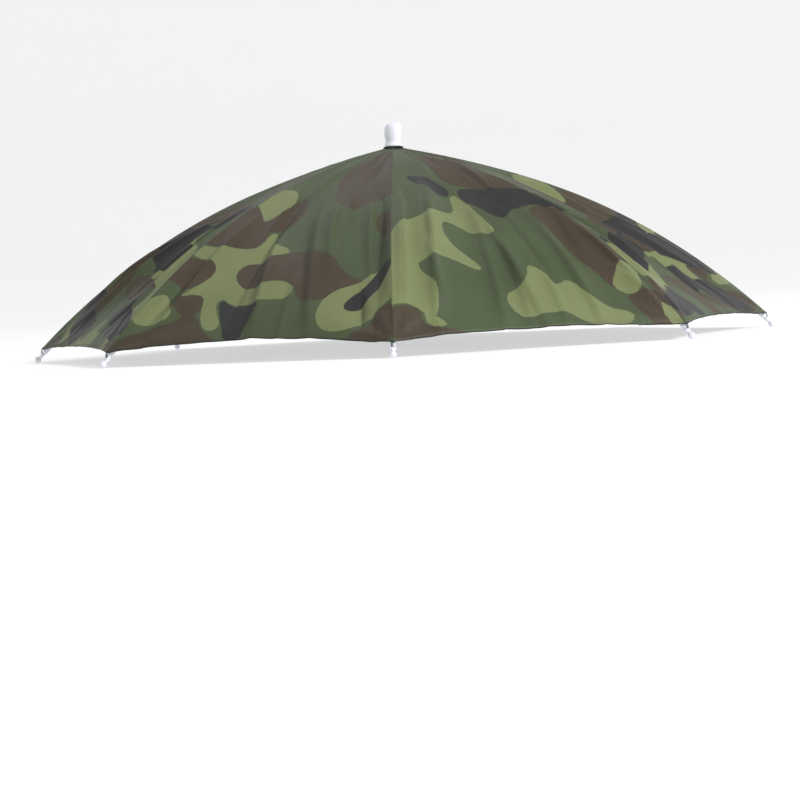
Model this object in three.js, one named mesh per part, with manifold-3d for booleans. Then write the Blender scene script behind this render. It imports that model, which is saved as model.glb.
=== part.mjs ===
// An umbrella hat: a small open umbrella that is worn on the head, with no handle.
// Eight triangular cloth panels are stretched over eight curved steel ribs. The ribs meet in a
// plastic hub under a knob, eight stretchers brace them from a ring below the hub, and an elastic
// headband hangs from the ribs on eight short straps. It stands on the ball tips of its ribs.
// Millimetres, +Z up, front towards -Y, origin on the floor under the middle of the canopy.
import * as THREE from "three";
import { mergeVertices } from "three/addons/utils/BufferGeometryUtils.js";
import Module from "manifold-3d";

const wasm = await Module();
wasm.setup();

// Clearance between pieces that touch, and between the sewn edges of two panels.
const clearance = 0.3;
const seamGap = 0.3;

// How far a cutting body runs past the face that it cuts.
const cutOver = 1;

// Sides of the turned pieces in the middle, of the tip caps, and of a quarter of the headband
const roundSides = 20;
const capSides = 8;
const bandQuarterSides = 12;

// Canopy
const cornerRadius = 345;
const crownHoleRadius = 7;
const clothThickness = 1.2;
const hemWidth = 6;
const hemExtra = 0.5;
const hemStep = 0.5;
// How far the cloth falls beside a seam, for each millimetre sideways, where it falls most.
const fallBesideSeam = 0.5;

// Slope of a seam below the horizontal, in degrees, at shares of its length from crown to corner.
const seamSlopes = [
  { share: 0, slope: 12 },
  { share: 0.325, slope: 19.8 },
  { share: 0.66, slope: 32.9 },
  { share: 1, slope: 44.3 },
];

// How each panel hangs, going round from the front to the right: the share of the seam's length by
// which its hem rises in the middle, and the share by which its cloth sags between the ribs.
const panelHang = [
  { panel: "front_right", hemRise: 0.022, sag: 0.014 },
  { panel: "right_front", hemRise: 0.026, sag: 0.022 },
  { panel: "right_back", hemRise: 0.03, sag: 0.02 },
  { panel: "back_right", hemRise: 0.026, sag: 0.018 },
  { panel: "back_left", hemRise: 0.018, sag: 0.02 },
  { panel: "left_back", hemRise: 0.03, sag: 0.022 },
  { panel: "left_front", hemRise: 0.024, sag: 0.02 },
  { panel: "front_left", hemRise: 0.032, sag: 0.018 },
];
const panelCount = panelHang.length;

// Soft folds in the cloth. Each runs straight over its panel between two points, given as shares
// along the seam and shares across from the middle (-1 and 1 are the seams). Its width and height
// are shares of the seam's length. Below zero it is a dent.
const folds = [
  { panel: "front_left", along: [0.36, 0.9], across: [0.08, 0.66], width: 0.05, height: 0.011 },
  { panel: "front_left", along: [0.46, 0.94], across: [0.4, 0.84], width: 0.045, height: -0.009 },
  { panel: "front_left", along: [0.66, 0.97], across: [0.04, 0.02], width: 0.05, height: 0.007 },
  { panel: "front_left", along: [0.3, 0.92], across: [-0.3, -0.7], width: 0.055, height: -0.006 },
  { panel: "front_right", along: [0.4, 0.96], across: [-0.55, -0.56], width: 0.05, height: 0.009 },
  { panel: "front_right", along: [0.3, 0.96], across: [-0.12, -0.04], width: 0.045, height: -0.009 },
  { panel: "front_right", along: [0.5, 0.96], across: [0.3, 0.22], width: 0.05, height: 0.008 },
  { panel: "front_right", along: [0.4, 0.95], across: [0.5, 0.8], width: 0.05, height: -0.006 },
  { panel: "right_front", along: [0.3, 0.96], across: [-0.3, -0.8], width: 0.055, height: 0.008 },
  { panel: "right_front", along: [0.45, 0.96], across: [0.5, 0.82], width: 0.05, height: -0.008 },
  { panel: "right_back", along: [0.4, 0.96], across: [0.2, 0.8], width: 0.055, height: -0.009 },
  { panel: "back_right", along: [0.35, 0.96], across: [-0.3, -0.8], width: 0.055, height: -0.008 },
  { panel: "back_left", along: [0.35, 0.96], across: [0.24, 0.76], width: 0.055, height: -0.009 },
  { panel: "back_left", along: [0.5, 0.94], across: [-0.1, 0.2], width: 0.055, height: 0.008 },
  { panel: "left_back", along: [0.4, 0.97], across: [-0.3, -0.82], width: 0.05, height: -0.012 },
  { panel: "left_front", along: [0.35, 0.96], across: [0.3, 0.82], width: 0.055, height: 0.009 },
];

// Ribs: folded steel channel, open below, that ends in a round pin
const ribWidth = 3;
const ribDepth = 2.6;
const ribWall = 0.6;
const ribSteps = 9;
const pinRadius = 1.1;
const pinRoot = 4;

// Tip caps: a sleeve over the rib's pin, an eye that the cloth's corner is sewn to, and a ball
const sleeveWall = 0.8;
const sleeveLength = 9.5;
const boreFloor = 1;
const neckRadius = 1.7;
const neckLength = 0.6;
const eyeWidth = 5.6;
const eyeLength = 5.4;
const eyeThickness = 3;
const eyeHoleRadius = 0.7;
const ballRadius = 3;
const cornerToEye = 1.1;
const barePin = 1;

// Hub, runner and the post through them
const postRadius = 3;
const postHeadRadius = 7;
const postHeadHeight = 2.5;
const hubCoreRadius = 9;
const hubSlotLength = 6;
const hubWeb = 2.2;
const roomForSag = 0.4;
const runnerCoreRadius = 8.5;
const runnerSlotLength = 4.5;
const runnerHeight = 6.5;

// Stretchers: round steel wire with a fork that is pinned to the rib
const stretcherRadius = 1.1;
const jointAlong = 125;
const forkCheek = 1;
const forkHalfLength = 3.2;
const forkTail = 9;
const wireInFork = 1;
const forkFloor = 2.4;
const jointPinRadius = 0.6;
const jointPinDepth = 1.6;

// Knob and washer on top
const washerLap = 2.3;
const washerThickness = 1.2;
const knobHeight = 23;
const knobCrown = 9;
const knobRadius = 8;
const knobWaistIn = 0.9;
const knobFootOut = 0.2;
const knobFootHeight = 0.8;
const knobLean = 1.6;

// Headband and the straps that carry it
const headBreadth = 150;
const headLength = 190;
const bandThickness = 2;
const bandHeight = 32;
const bandAboveCorners = 45;
const strapWidth = 18;
const strapThickness = 1.4;
const strapFootRise = 8;
const strapOnRib = 12;
const strapGapToFork = 4;
const strapBend = 3;
const strapBendDrop = 1.6;
const strapAboveBand = 2;

const halfPanel = Math.PI / panelCount;
const cosHalf = Math.cos(halfPanel);
const sinHalf = Math.sin(halfPanel);

// The seam as a chain of arcs in the plane of radius and height. Its length is whatever makes it
// reach from the crown hole to the corner.
const seamArcs = seamSlopes.slice(1).map((row, i) => {
  const from = THREE.MathUtils.degToRad(seamSlopes[i].slope);
  const to = THREE.MathUtils.degToRad(row.slope);
  return { start: seamSlopes[i].share, span: row.share - seamSlopes[i].share, from, to };
});

// How far a share of one arc reaches outward and down, for a seam of length 1.
function arcReach(arc, share) {
  const turned = arc.from + ((arc.to - arc.from) * share) / arc.span;
  const perTurn = arc.span / (arc.to - arc.from);
  return {
    out: perTurn * (Math.sin(turned) - Math.sin(arc.from)),
    down: perTurn * (Math.cos(arc.from) - Math.cos(turned)),
    slope: turned,
  };
}

// Outward reach, drop and slope of the whole seam at a share of its length, for a length of 1.
function unitSeam(share) {
  let out = 0;
  let down = 0;
  for (const arc of seamArcs) {
    const last = arc === seamArcs[seamArcs.length - 1];
    if (share <= arc.start + arc.span || last) {
      const reach = arcReach(arc, share - arc.start);
      return { out: out + reach.out, down: down + reach.down, slope: reach.slope };
    }
    const reach = arcReach(arc, arc.span);
    out += reach.out;
    down += reach.down;
  }
}

const seamLength = (cornerRadius - crownHoleRadius) / unitSeam(1).out;
const seamDrop = seamLength * unitSeam(1).down;

// The cap's ball stands on the floor, which sets how high the cloth's corners are.
const sleeveRadius = pinRadius + clearance + sleeveWall;
const boreDepth = sleeveLength - boreFloor;
const capLength = sleeveLength + eyeLength + neckLength + 2 * ballRadius;
const cornerOnCap = sleeveLength - cornerToEye;
const underCloth = 1.05 * clothThickness + (fallBesideSeam * ribWidth) / 2 + clearance;
const cornerSlope = unitSeam(1).slope;
const ballReach = capLength - ballRadius - cornerOnCap;
const cornerHeight =
  ballRadius + Math.cos(cornerSlope) * (underCloth + sleeveRadius) + Math.sin(cornerSlope) * ballReach;
const crownHeight = cornerHeight + seamDrop;
const jointShare = jointAlong / seamLength;

// A point of the seam, moved below the cloth's outer face by a depth at right angles to it.
function seamPoint(share, depth = 0) {
  const { out, down, slope } = unitSeam(share);
  return {
    radius: crownHoleRadius + seamLength * out - depth * Math.sin(slope),
    height: crownHeight - seamLength * down - depth * Math.cos(slope),
    slope,
  };
}

// The share of the seam at which it is a given distance from the axis.
function shareAtRadius(radius) {
  let low = 0;
  let high = 1;
  for (let i = 0; i < 40; i++) {
    const middle = (low + high) / 2;
    if (seamPoint(middle).radius < radius) low = middle;
    else high = middle;
  }
  return (low + high) / 2;
}

// Closed body between rings of points: each ring joins the next, and the first and last are capped.
function loft(rings) {
  const count = rings[0].length;
  const positions = rings.flat().flatMap((p) => [p.x, p.y, p.z]);
  const index = [];
  for (let i = 0; i + 1 < rings.length; i++) {
    for (let j = 0; j < count; j++) {
      const a = i * count + j;
      const b = i * count + ((j + 1) % count);
      index.push(a, b, a + count, b, b + count, a + count);
    }
  }
  const last = (rings.length - 1) * count;
  for (let j = 1; j + 1 < count; j++) {
    index.push(0, j + 1, j);
    index.push(last, last + j, last + j + 1);
  }
  return closed(positions, index);
}

function closed(positions, index) {
  const geometry = new THREE.BufferGeometry();
  geometry.setAttribute("position", new THREE.Float32BufferAttribute(positions, 3));
  geometry.setIndex(index);
  geometry.computeVertexNormals();
  return geometry;
}

// A three.js geometry as a solid for cutting and joining, and back.
function solid(geometry) {
  const bare = geometry.clone();
  bare.deleteAttribute("normal");
  bare.deleteAttribute("uv");
  const merged = mergeVertices(bare, 1e-4);
  return new wasm.Manifold(
    new wasm.Mesh({
      numProp: 3,
      vertProperties: new Float32Array(merged.attributes.position.array),
      triVerts: new Uint32Array(merged.index.array),
    }),
  );
}

function geometryOf(made) {
  const mesh = made.getMesh();
  return closed(Array.from(mesh.vertProperties), Array.from(mesh.triVerts));
}

// A body turned about the Z axis from a profile of [radius, height] points.
function turned(profile, sides) {
  const points = profile.map(([radius, height]) => new THREE.Vector2(radius, height));
  return new THREE.LatheGeometry(points, sides).rotateX(Math.PI / 2);
}

function box(width, depth, height, x, y, z) {
  return new THREE.BoxGeometry(width, depth, height).translate(x, y, z);
}

const materials = {
  cloth: new THREE.MeshStandardMaterial({ color: 0x4f6a3c, roughness: 0.7 }),
  steel: new THREE.MeshStandardMaterial({ color: 0x1c1d1f, roughness: 0.4, metalness: 0.6 }),
  whitePlastic: new THREE.MeshStandardMaterial({ color: 0xf2f2f4, roughness: 0.35 }),
  darkPlastic: new THREE.MeshStandardMaterial({ color: 0x2b2e2a, roughness: 0.6 }),
  elastic: new THREE.MeshStandardMaterial({ color: 0x17181a, roughness: 0.9 }),
};

function named(name, geometry, material) {
  const mesh = new THREE.Mesh(geometry, material);
  mesh.name = name;
  return mesh;
}

// Height of the folds over the cloth, at a share along and across the panel.
function foldHeight(panel, along, across) {
  const place = (a, c) => [a * seamLength, c * sinHalf * seamPoint(a).radius];
  const [y, x] = place(along, across);
  let height = 0;
  for (const fold of folds.filter((row) => row.panel === panel)) {
    const [fromY, fromX] = place(fold.along[0], fold.across[0]);
    const [toY, toX] = place(fold.along[1], fold.across[1]);
    const runY = toY - fromY;
    const runX = toX - fromX;
    const t = THREE.MathUtils.clamp(
      ((y - fromY) * runY + (x - fromX) * runX) / (runY * runY + runX * runX), 0, 1);
    const away = Math.hypot(y - fromY - t * runY, x - fromX - t * runX) / (fold.width * seamLength);
    height += fold.height * seamLength * Math.exp(-away * away) * Math.sin(Math.PI * (0.1 + 0.8 * t));
  }
  return height;
}

// One cloth panel, in a frame whose X axis is the middle of the panel. The skin is worked out at a
// depth below its outer face, with mitred edges along the seams.
function panelGeometry({ panel, hemRise, sag }) {
  const hemStart = 1 - hemWidth / seamLength;
  const rows = [0, 0.11, 0.22, 0.33, 0.44, 0.55, 0.66, 0.76, 0.85, 0.93];
  rows.push(hemStart, hemStart + hemStep / seamLength, 1);
  const columns = [-1, -0.84, -0.64, -0.43, -0.21, 0, 0.21, 0.43, 0.64, 0.84, 1];

  function skin(row, across, depth) {
    const along = row * (1 - hemRise * (1 - across * across));
    const { radius, height, slope } = seamPoint(along);
    const middleSlope = Math.atan(Math.tan(slope) / cosHalf);
    const slack = (1 - across * across) * Math.sin(Math.PI * Math.pow(along, 1.4) * 0.86);
    const seamFade = (1 - Math.pow(across, 8)) ** 2;
    const relief = seamFade * foldHeight(panel, along, across) - sag * seamLength * slack;
    const lift = relief - depth;
    const out = radius * cosHalf - depth * Math.sin(middleSlope);
    const side = across * (out * Math.tan(halfPanel) - seamGap / 2 / cosHalf);
    return new THREE.Vector3(
      out + relief * Math.sin(middleSlope),
      side,
      height + lift * Math.cos(middleSlope),
    );
  }

  const rings = rows.map((row) => {
    const hemDepth = row > hemStart ? hemExtra : 0;
    const outer = columns.map((across) => skin(row, across, 0));
    const inner = columns.map((across) =>
      skin(row, across, clothThickness + (Math.abs(across) < 1 ? hemDepth : 0)));
    return [...inner, ...outer.reverse()];
  });
  return strips(rings, columns.length);
}

// Like loft, but the two end caps are ladders between the inner and the outer edge of a thin wall.
function strips(rings, columns) {
  const count = rings[0].length;
  const positions = rings.flat().flatMap((p) => [p.x, p.y, p.z]);
  const index = [];
  for (let i = 0; i + 1 < rings.length; i++) {
    for (let j = 0; j < count; j++) {
      const a = i * count + j;
      const b = i * count + ((j + 1) % count);
      index.push(a, b, a + count, b, b + count, a + count);
    }
  }
  const last = (rings.length - 1) * count;
  for (let j = 0; j + 1 < columns; j++) {
    const opposite = count - 1 - j;
    index.push(j, opposite, j + 1, j + 1, opposite, opposite - 1);
    index.push(last + j, last + j + 1, last + opposite);
    index.push(last + j + 1, last + opposite - 1, last + opposite);
  }
  return closed(positions, index);
}

// The line that the rib's top face follows, just inside the cloth, from the hub to its end.
const crownSlope = unitSeam(0).slope;
const ribEndLean = (underCloth + ribDepth) * Math.sin(crownSlope);
const ribStartShare = shareAtRadius(hubCoreRadius + clearance + ribEndLean);
const ribEndSetback = cornerOnCap + barePin;
const ribEndShare = 1 - ribEndSetback / seamLength;

class RibLine extends THREE.Curve {
  getPoint(t, target = new THREE.Vector3()) {
    const share = THREE.MathUtils.lerp(ribStartShare, ribEndShare, t);
    const { radius, height } = seamPoint(share, underCloth);
    return target.set(radius, 0, height);
  }
}

// How far the rib's straight steps cut below its curve, at a share of the seam.
function ribDip(share) {
  const step = (ribEndShare - ribStartShare) / ribSteps;
  const start = ribStartShare + step * Math.floor((share - ribStartShare) / step);
  const [a, b, on] = [start, start + step, share].map((s) => seamPoint(s));
  const t = (share - start) / step;
  const radius = THREE.MathUtils.lerp(a.radius, b.radius, t);
  const height = THREE.MathUtils.lerp(a.height, b.height, t);
  return Math.hypot(on.radius - radius, on.height - height);
}

// A frame on the rib's top face at a share of the seam: X outward along the rib, Z towards the
// cloth, so that what lies below the face has a negative Z.
function frameOnRib(share, dip = 0) {
  const { radius, height, slope } = seamPoint(share, underCloth + dip);
  return new THREE.Matrix4()
    .makeRotationY(slope)
    .setPosition(radius, 0, height);
}

const jointFrame = frameOnRib(jointShare, ribDip(jointShare));

function ribGeometry() {
  const half = ribWidth / 2;
  const inside = half - ribWall;
  const channel = new THREE.Shape([
    new THREE.Vector2(-half, 0),
    new THREE.Vector2(half, 0),
    new THREE.Vector2(half, ribDepth),
    new THREE.Vector2(inside, ribDepth),
    new THREE.Vector2(inside, ribWall),
    new THREE.Vector2(-inside, ribWall),
    new THREE.Vector2(-inside, ribDepth),
    new THREE.Vector2(-half, ribDepth),
  ]);
  const swept = new THREE.ExtrudeGeometry(channel, { steps: ribSteps, extrudePath: new RibLine() });
  const pinStart = -ribEndSetback - pinRoot;
  const pinEnd = boreDepth - clearance - cornerOnCap;
  const pin = new THREE.CylinderGeometry(pinRadius, pinRadius, pinEnd - pinStart, 8)
    .rotateZ(Math.PI / 2)
    .translate((pinStart + pinEnd) / 2, 0, -sleeveRadius)
    .applyMatrix4(frameOnRib(1));
  const jointHole = jointPin(jointPinRadius + clearance, ribWidth + 2 * cutOver);
  return geometryOf(solid(swept).add(solid(pin)).subtract(solid(jointHole)));
}

// The pin that joins a stretcher's fork to the rib, across the channel's two walls.
function jointPin(radius, length) {
  return new THREE.CylinderGeometry(radius, radius, length, 8)
    .translate(0, 0, -jointPinDepth)
    .applyMatrix4(jointFrame);
}

// The tip cap, made along +X from the mouth of its sleeve and then set on the rib's end.
function capGeometry() {
  const bore = pinRadius + clearance;
  const ballCentre = capLength - ballRadius;
  const neckMeetsBall = Math.asin(neckRadius / ballRadius);
  const profile = [[0, boreDepth], [bore, boreDepth], [bore, 0], [sleeveRadius, 0]];
  profile.push([sleeveRadius, sleeveLength], [neckRadius, sleeveLength + neckLength]);
  const ballSteps = 4;
  for (let i = 0; i <= ballSteps; i++) {
    const turn = neckMeetsBall + ((Math.PI - neckMeetsBall) * i) / ballSteps;
    const radius = i === ballSteps ? 0 : ballRadius * Math.sin(turn);
    profile.push([radius, ballCentre - ballRadius * Math.cos(turn)]);
  }
  const body = turned(profile, capSides).rotateY(Math.PI / 2);
  const eyeMiddle = sleeveLength + eyeLength / 2;
  const eye = box(eyeLength, eyeWidth, eyeThickness, eyeMiddle, 0, 0);
  const hole = new THREE.CylinderGeometry(eyeHoleRadius, eyeHoleRadius, eyeThickness + 2 * cutOver, 6)
    .rotateX(Math.PI / 2)
    .translate(eyeMiddle, 0, 0);
  const made = geometryOf(solid(body).add(solid(eye)).subtract(solid(hole)));
  return made.translate(-cornerOnCap, 0, -sleeveRadius).applyMatrix4(frameOnRib(1));
}

// Heights of the stack in the middle, from the crown down. A ring lies under the cloth where it is
// lowest over that ring: in the middle of a panel.
const hubRadius = hubCoreRadius + hubSlotLength;
const runnerRadius = runnerCoreRadius + runnerSlotLength;
function clothUndersideAt(radius) {
  return seamPoint(shareAtRadius(radius / cosHalf), clothThickness).height;
}
const ribUndersideAtHub = seamPoint(shareAtRadius(hubRadius), underCloth + ribDepth).height;
const hubTop = clothUndersideAt(hubRadius) - clearance - roomForSag;
const hubSlotFloor = ribUndersideAtHub - clearance;
const hubBottom = hubSlotFloor - hubWeb;
const runnerTop = hubBottom - clearance;
const runnerBottom = runnerTop - runnerHeight;
const postHeadTop = runnerBottom - clearance;
const postBore = postRadius + clearance;

// A turned ring with a bore for the post and an open slot below or above each rib.
function slottedRing(radius, bottom, top, slotStart, slotWidth, slotBottom, slotTop) {
  const profile = [[postBore, bottom], [radius, bottom], [radius, top], [postBore, top]];
  let ring = solid(turned([...profile, profile[0]], roundSides));
  const reach = radius + cutOver - slotStart;
  for (let i = 0; i < panelCount; i++) {
    const middle = (slotBottom + slotTop) / 2;
    const slot = box(reach, slotWidth, slotTop - slotBottom, slotStart + reach / 2, 0, middle)
      .rotateZ(ribAzimuth(i));
    ring = ring.subtract(solid(slot));
  }
  return geometryOf(ring);
}

function ribAzimuth(i) {
  return -Math.PI / 2 + 2 * halfPanel * i;
}

function hubGeometry() {
  const slotWidth = ribWidth + 2 * clearance;
  return slottedRing(hubRadius, hubBottom, hubTop, hubCoreRadius, slotWidth, hubSlotFloor, hubTop + cutOver);
}

function runnerGeometry() {
  const slotWidth = 2 * (stretcherRadius + clearance);
  const cut = [runnerBottom - cutOver, runnerTop + cutOver];
  return slottedRing(runnerRadius, runnerBottom, runnerTop, runnerCoreRadius, slotWidth, ...cut);
}

// The crown is a cone of the seam's first slope. Washer and knob sit on it.
function coneHeight(radius, above) {
  return crownHeight + (crownHoleRadius - radius) * Math.tan(crownSlope) + above / Math.cos(crownSlope);
}
const washerRadius = crownHoleRadius + washerLap;
const washerUnder = clearance;
const washerOver = washerUnder + washerThickness;
const knobUnder = washerOver + clearance;
const knobFoot = knobRadius + knobFootOut;
const knobBottom = coneHeight(knobFoot, knobUnder);
const knobTop = knobBottom + knobHeight;
const knobBoreTop = knobTop - knobCrown;
const postTop = knobBoreTop - clearance;

function washerGeometry() {
  const profile = [
    [postBore, coneHeight(postBore, washerUnder)],
    [washerRadius, coneHeight(washerRadius, washerUnder)],
    [washerRadius, coneHeight(washerRadius, washerOver)],
    [postBore, coneHeight(postBore, washerOver)],
  ];
  return turned([...profile, profile[0]], roundSides);
}

function postGeometry() {
  const bottom = postHeadTop - postHeadHeight;
  return turned([
    [0, bottom],
    [postHeadRadius, bottom],
    [postHeadRadius, postHeadTop],
    [postRadius, postHeadTop],
    [postRadius, postTop],
    [0, postTop],
  ], roundSides);
}

// The knob: a flared foot, a waist and a rounded top that leans a little to the right.
function knobGeometry() {
  const knobWaist = knobRadius - knobWaistIn;
  const shoulder = knobTop - knobRadius * 0.8;
  const profile = [
    [0, knobBoreTop],
    [postBore, knobBoreTop],
    [postBore, coneHeight(postBore, knobUnder)],
    [knobFoot, knobBottom],
    [knobFoot, knobBottom + knobFootHeight],
    [knobWaist, knobBottom + knobHeight * 0.18],
    [(knobWaist + knobRadius) / 2, knobBottom + knobHeight * 0.4],
  ];
  const domeSteps = 5;
  for (let i = 0; i <= domeSteps; i++) {
    const turn = (Math.PI / 2) * (i / domeSteps);
    const radius = i === domeSteps ? 0 : knobRadius * Math.pow(Math.cos(turn), 0.8);
    profile.push([radius, shoulder + (knobTop - shoulder) * Math.sin(turn)]);
  }
  const geometry = turned(profile, roundSides);
  const places = geometry.attributes.position;
  for (let i = 0; i < places.count; i++) {
    const share = Math.max(0, (places.getZ(i) - knobBoreTop) / knobCrown);
    places.setX(i, places.getX(i) + knobLean * share);
  }
  return geometry;
}

// A stretcher: wire from the runner to a fork that holds the rib's channel between its cheeks.
function stretcherGeometry() {
  const inner = ribWidth / 2 + clearance;
  const outer = inner + forkCheek;
  const floorTop = ribDepth + clearance;
  const floorBottom = floorTop + forkFloor;
  const floorMiddle = (floorTop + floorBottom) / 2;
  const cheekTop = ribWall;
  const cheekHeight = floorBottom - cheekTop;
  const floorLength = forkTail + forkHalfLength;
  const floor = box(
    floorLength, 2 * outer, forkFloor, forkHalfLength - floorLength / 2, 0, -floorMiddle);
  let made = solid(floor.applyMatrix4(jointFrame));
  for (const side of [-1, 1]) {
    const middle = (inner + outer) / 2;
    const cheek = box(
      2 * forkHalfLength, forkCheek, cheekHeight, 0, side * middle, -(cheekTop + cheekHeight / 2));
    made = made.add(solid(cheek.applyMatrix4(jointFrame)));
  }
  made = made.add(solid(jointPin(jointPinRadius, 2 * outer - forkCheek)));
  const wireStart = runnerCoreRadius + 2 * clearance;
  const from = new THREE.Vector3(wireStart, 0, (runnerTop + runnerBottom) / 2);
  const to = new THREE.Vector3(wireInFork - forkTail, 0, -floorMiddle).applyMatrix4(jointFrame);
  const along = to.clone().sub(from);
  const wire = new THREE.CylinderGeometry(stretcherRadius, stretcherRadius, along.length(), 8)
    .applyQuaternion(new THREE.Quaternion().setFromUnitVectors(
      new THREE.Vector3(0, 1, 0), along.clone().normalize()))
    .translate((from.x + to.x) / 2, 0, (from.z + to.z) / 2);
  return geometryOf(made.add(solid(wire)));
}

const bandBottom = cornerHeight + bandAboveCorners;
const bandTop = bandBottom + bandHeight;
const bandSide = headBreadth / 2;
const bandFront = headLength / 2;

function bandGeometry() {
  const outline = new THREE.Shape();
  outline.absellipse(0, 0, bandSide + bandThickness, bandFront + bandThickness, 0, 2 * Math.PI, false, 0);
  const inside = new THREE.Path();
  inside.absellipse(0, 0, bandSide, bandFront, 0, 2 * Math.PI, false, 0);
  outline.holes.push(inside);
  const settings = { depth: bandHeight, bevelEnabled: false, curveSegments: 2 * bandQuarterSides };
  return new THREE.ExtrudeGeometry(outline, settings).translate(0, 0, bandBottom);
}

// A strap: flat on the band's outer face, up and outward to the rib, then flat along the rib's
// underside. It is made in the frame of its own rib, whose azimuth says where it meets the band.
function strapGeometry(azimuth) {
  const slantwise = Math.hypot(Math.cos(azimuth) / bandSide, Math.sin(azimuth) / bandFront);
  const onBand = new THREE.Vector3(Math.cos(azimuth), Math.sin(azimuth), 0).divideScalar(slantwise);
  const normal = new THREE.Vector3(onBand.x / bandSide ** 2, onBand.y / bandFront ** 2, 0).normalize();
  const upright = new THREE.Vector3(0, 0, 1);
  for (const v of [onBand, normal]) v.applyAxisAngle(upright, -azimuth);
  const bandWise = new THREE.Vector3().crossVectors(upright, normal);
  const ribWise = new THREE.Vector3(0, 1, 0);
  const base = onBand.clone().addScaledVector(normal, bandThickness + clearance + strapThickness / 2);

  const firstShare = jointShare + (forkHalfLength + strapGapToFork) / seamLength;
  const seatShare = firstShare + strapBend / seamLength;
  const ribDepthToMiddle = underCloth + ribDepth + clearance + strapThickness / 2;
  const onRib = (share, extra = 0) => {
    const { radius, height, slope } = seamPoint(share, ribDepthToMiddle + ribDip(share) + extra);
    const outward = new THREE.Vector3(Math.sin(slope), 0, Math.cos(slope));
    return { centre: new THREE.Vector3(radius, 0, height), outward };
  };
  const first = onRib(seatShare);
  const last = onRib(seatShare + strapOnRib / seamLength);
  const turnIn = onRib(firstShare, strapBendDrop);
  const bandEdge = base.clone().setZ(bandTop + strapAboveBand);
  const rise = turnIn.centre.clone().sub(bandEdge);
  const slant = new THREE.Vector3().crossVectors(ribWise, rise.clone().normalize());

  const inward = (place) => place.outward.clone().negate();
  const between = (a, b, share) => a.clone().lerp(b, share);
  const onRise = (share) => between(bandEdge, turnIn.centre, share);

  const stations = [
    { centre: base.clone().setZ(bandBottom + strapFootRise), wide: bandWise, thick: normal },
    { centre: base.clone().setZ(bandTop), wide: bandWise, thick: normal },
    { centre: onRise(0.12), wide: between(bandWise, ribWise, 0.2), thick: between(slant, normal, 0.4) },
    { centre: onRise(0.5), wide: between(bandWise, ribWise, 0.6), thick: slant },
    { centre: onRise(0.9), wide: ribWise, thick: slant },
    { centre: turnIn.centre, wide: ribWise, thick: between(slant, inward(turnIn), 0.5) },
    { centre: first.centre, wide: ribWise, thick: inward(first) },
    { centre: last.centre, wide: ribWise, thick: inward(last) },
  ];
  const rings = stations.map(({ centre, wide, thick }) => {
    const w = wide.clone().normalize().multiplyScalar(strapWidth / 2);
    const t = thick.clone().normalize().multiplyScalar(strapThickness / 2);
    return [[-1, -1], [-1, 1], [1, 1], [1, -1]].map(([i, j]) =>
      centre.clone().addScaledVector(w, i).addScaledVector(t, j));
  });
  return loft(rings);
}

// Everything that goes with one rib, in a group that is turned to the rib's azimuth.
function ribGroup(i) {
  const group = new THREE.Group();
  group.rotation.z = ribAzimuth(i);
  const number = i + 1;
  group.add(
    named(`rib_${number}`, ribGeometry(), materials.steel),
    named(`tip_cap_${number}`, capGeometry(), materials.whitePlastic),
    named(`stretcher_${number}`, stretcherGeometry(), materials.steel),
    named(`band_strap_${number}`, strapGeometry(ribAzimuth(i)), materials.elastic),
  );
  return group;
}

// A cloth panel, turned to the azimuth halfway between its two ribs.
function panelGroup(hang, i) {
  const group = new THREE.Group();
  group.rotation.z = ribAzimuth(i) + halfPanel;
  group.add(named(`panel_${hang.panel}`, panelGeometry(hang), materials.cloth));
  return group;
}

const hat = new THREE.Group();
panelHang.forEach((hang, i) => hat.add(panelGroup(hang, i)));
for (let i = 0; i < panelCount; i++) hat.add(ribGroup(i));
hat.add(
  named("hub", hubGeometry(), materials.whitePlastic),
  named("runner", runnerGeometry(), materials.whitePlastic),
  named("post", postGeometry(), materials.whitePlastic),
  named("crown_washer", washerGeometry(), materials.darkPlastic),
  named("knob", knobGeometry(), materials.whitePlastic),
  named("headband", bandGeometry(), materials.elastic),
);

export default hat;
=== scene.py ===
# %% [markdown]
# # An umbrella hat
# A small open umbrella that is worn on the head. Eight cloth panels are sewn into one canopy and
# stretched over eight curved steel ribs. The ribs meet in a plastic hub under a knob, eight wires
# brace them from a ring below it, and an elastic headband hangs from them on short straps.
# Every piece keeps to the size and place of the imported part, which is loaded first and never moved.

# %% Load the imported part
import math
import bmesh
import bpy
import numpy as np
from mathutils import Matrix, Vector


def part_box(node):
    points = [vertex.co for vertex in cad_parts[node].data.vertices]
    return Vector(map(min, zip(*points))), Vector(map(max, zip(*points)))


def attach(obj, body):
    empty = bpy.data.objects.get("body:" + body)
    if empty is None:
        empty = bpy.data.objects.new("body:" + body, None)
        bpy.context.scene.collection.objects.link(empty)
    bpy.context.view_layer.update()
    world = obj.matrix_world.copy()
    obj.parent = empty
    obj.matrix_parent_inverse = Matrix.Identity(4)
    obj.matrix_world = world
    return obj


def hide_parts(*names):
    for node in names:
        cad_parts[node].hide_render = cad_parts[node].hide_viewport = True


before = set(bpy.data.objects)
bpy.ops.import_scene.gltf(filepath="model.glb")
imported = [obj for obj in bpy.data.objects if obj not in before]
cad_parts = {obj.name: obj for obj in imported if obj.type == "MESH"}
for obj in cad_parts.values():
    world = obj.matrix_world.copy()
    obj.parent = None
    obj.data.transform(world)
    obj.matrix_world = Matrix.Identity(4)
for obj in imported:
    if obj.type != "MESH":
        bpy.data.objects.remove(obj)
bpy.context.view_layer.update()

# %% [markdown]
# The canopy's shape follows one curve, the seam that lies on a rib. The real one is a chain of
# gentle arcs that grow steeper towards the corner. Here a short table gives its slope at four
# shares of its length, and a function adds up the arcs. Every other piece is placed with it.

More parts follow.
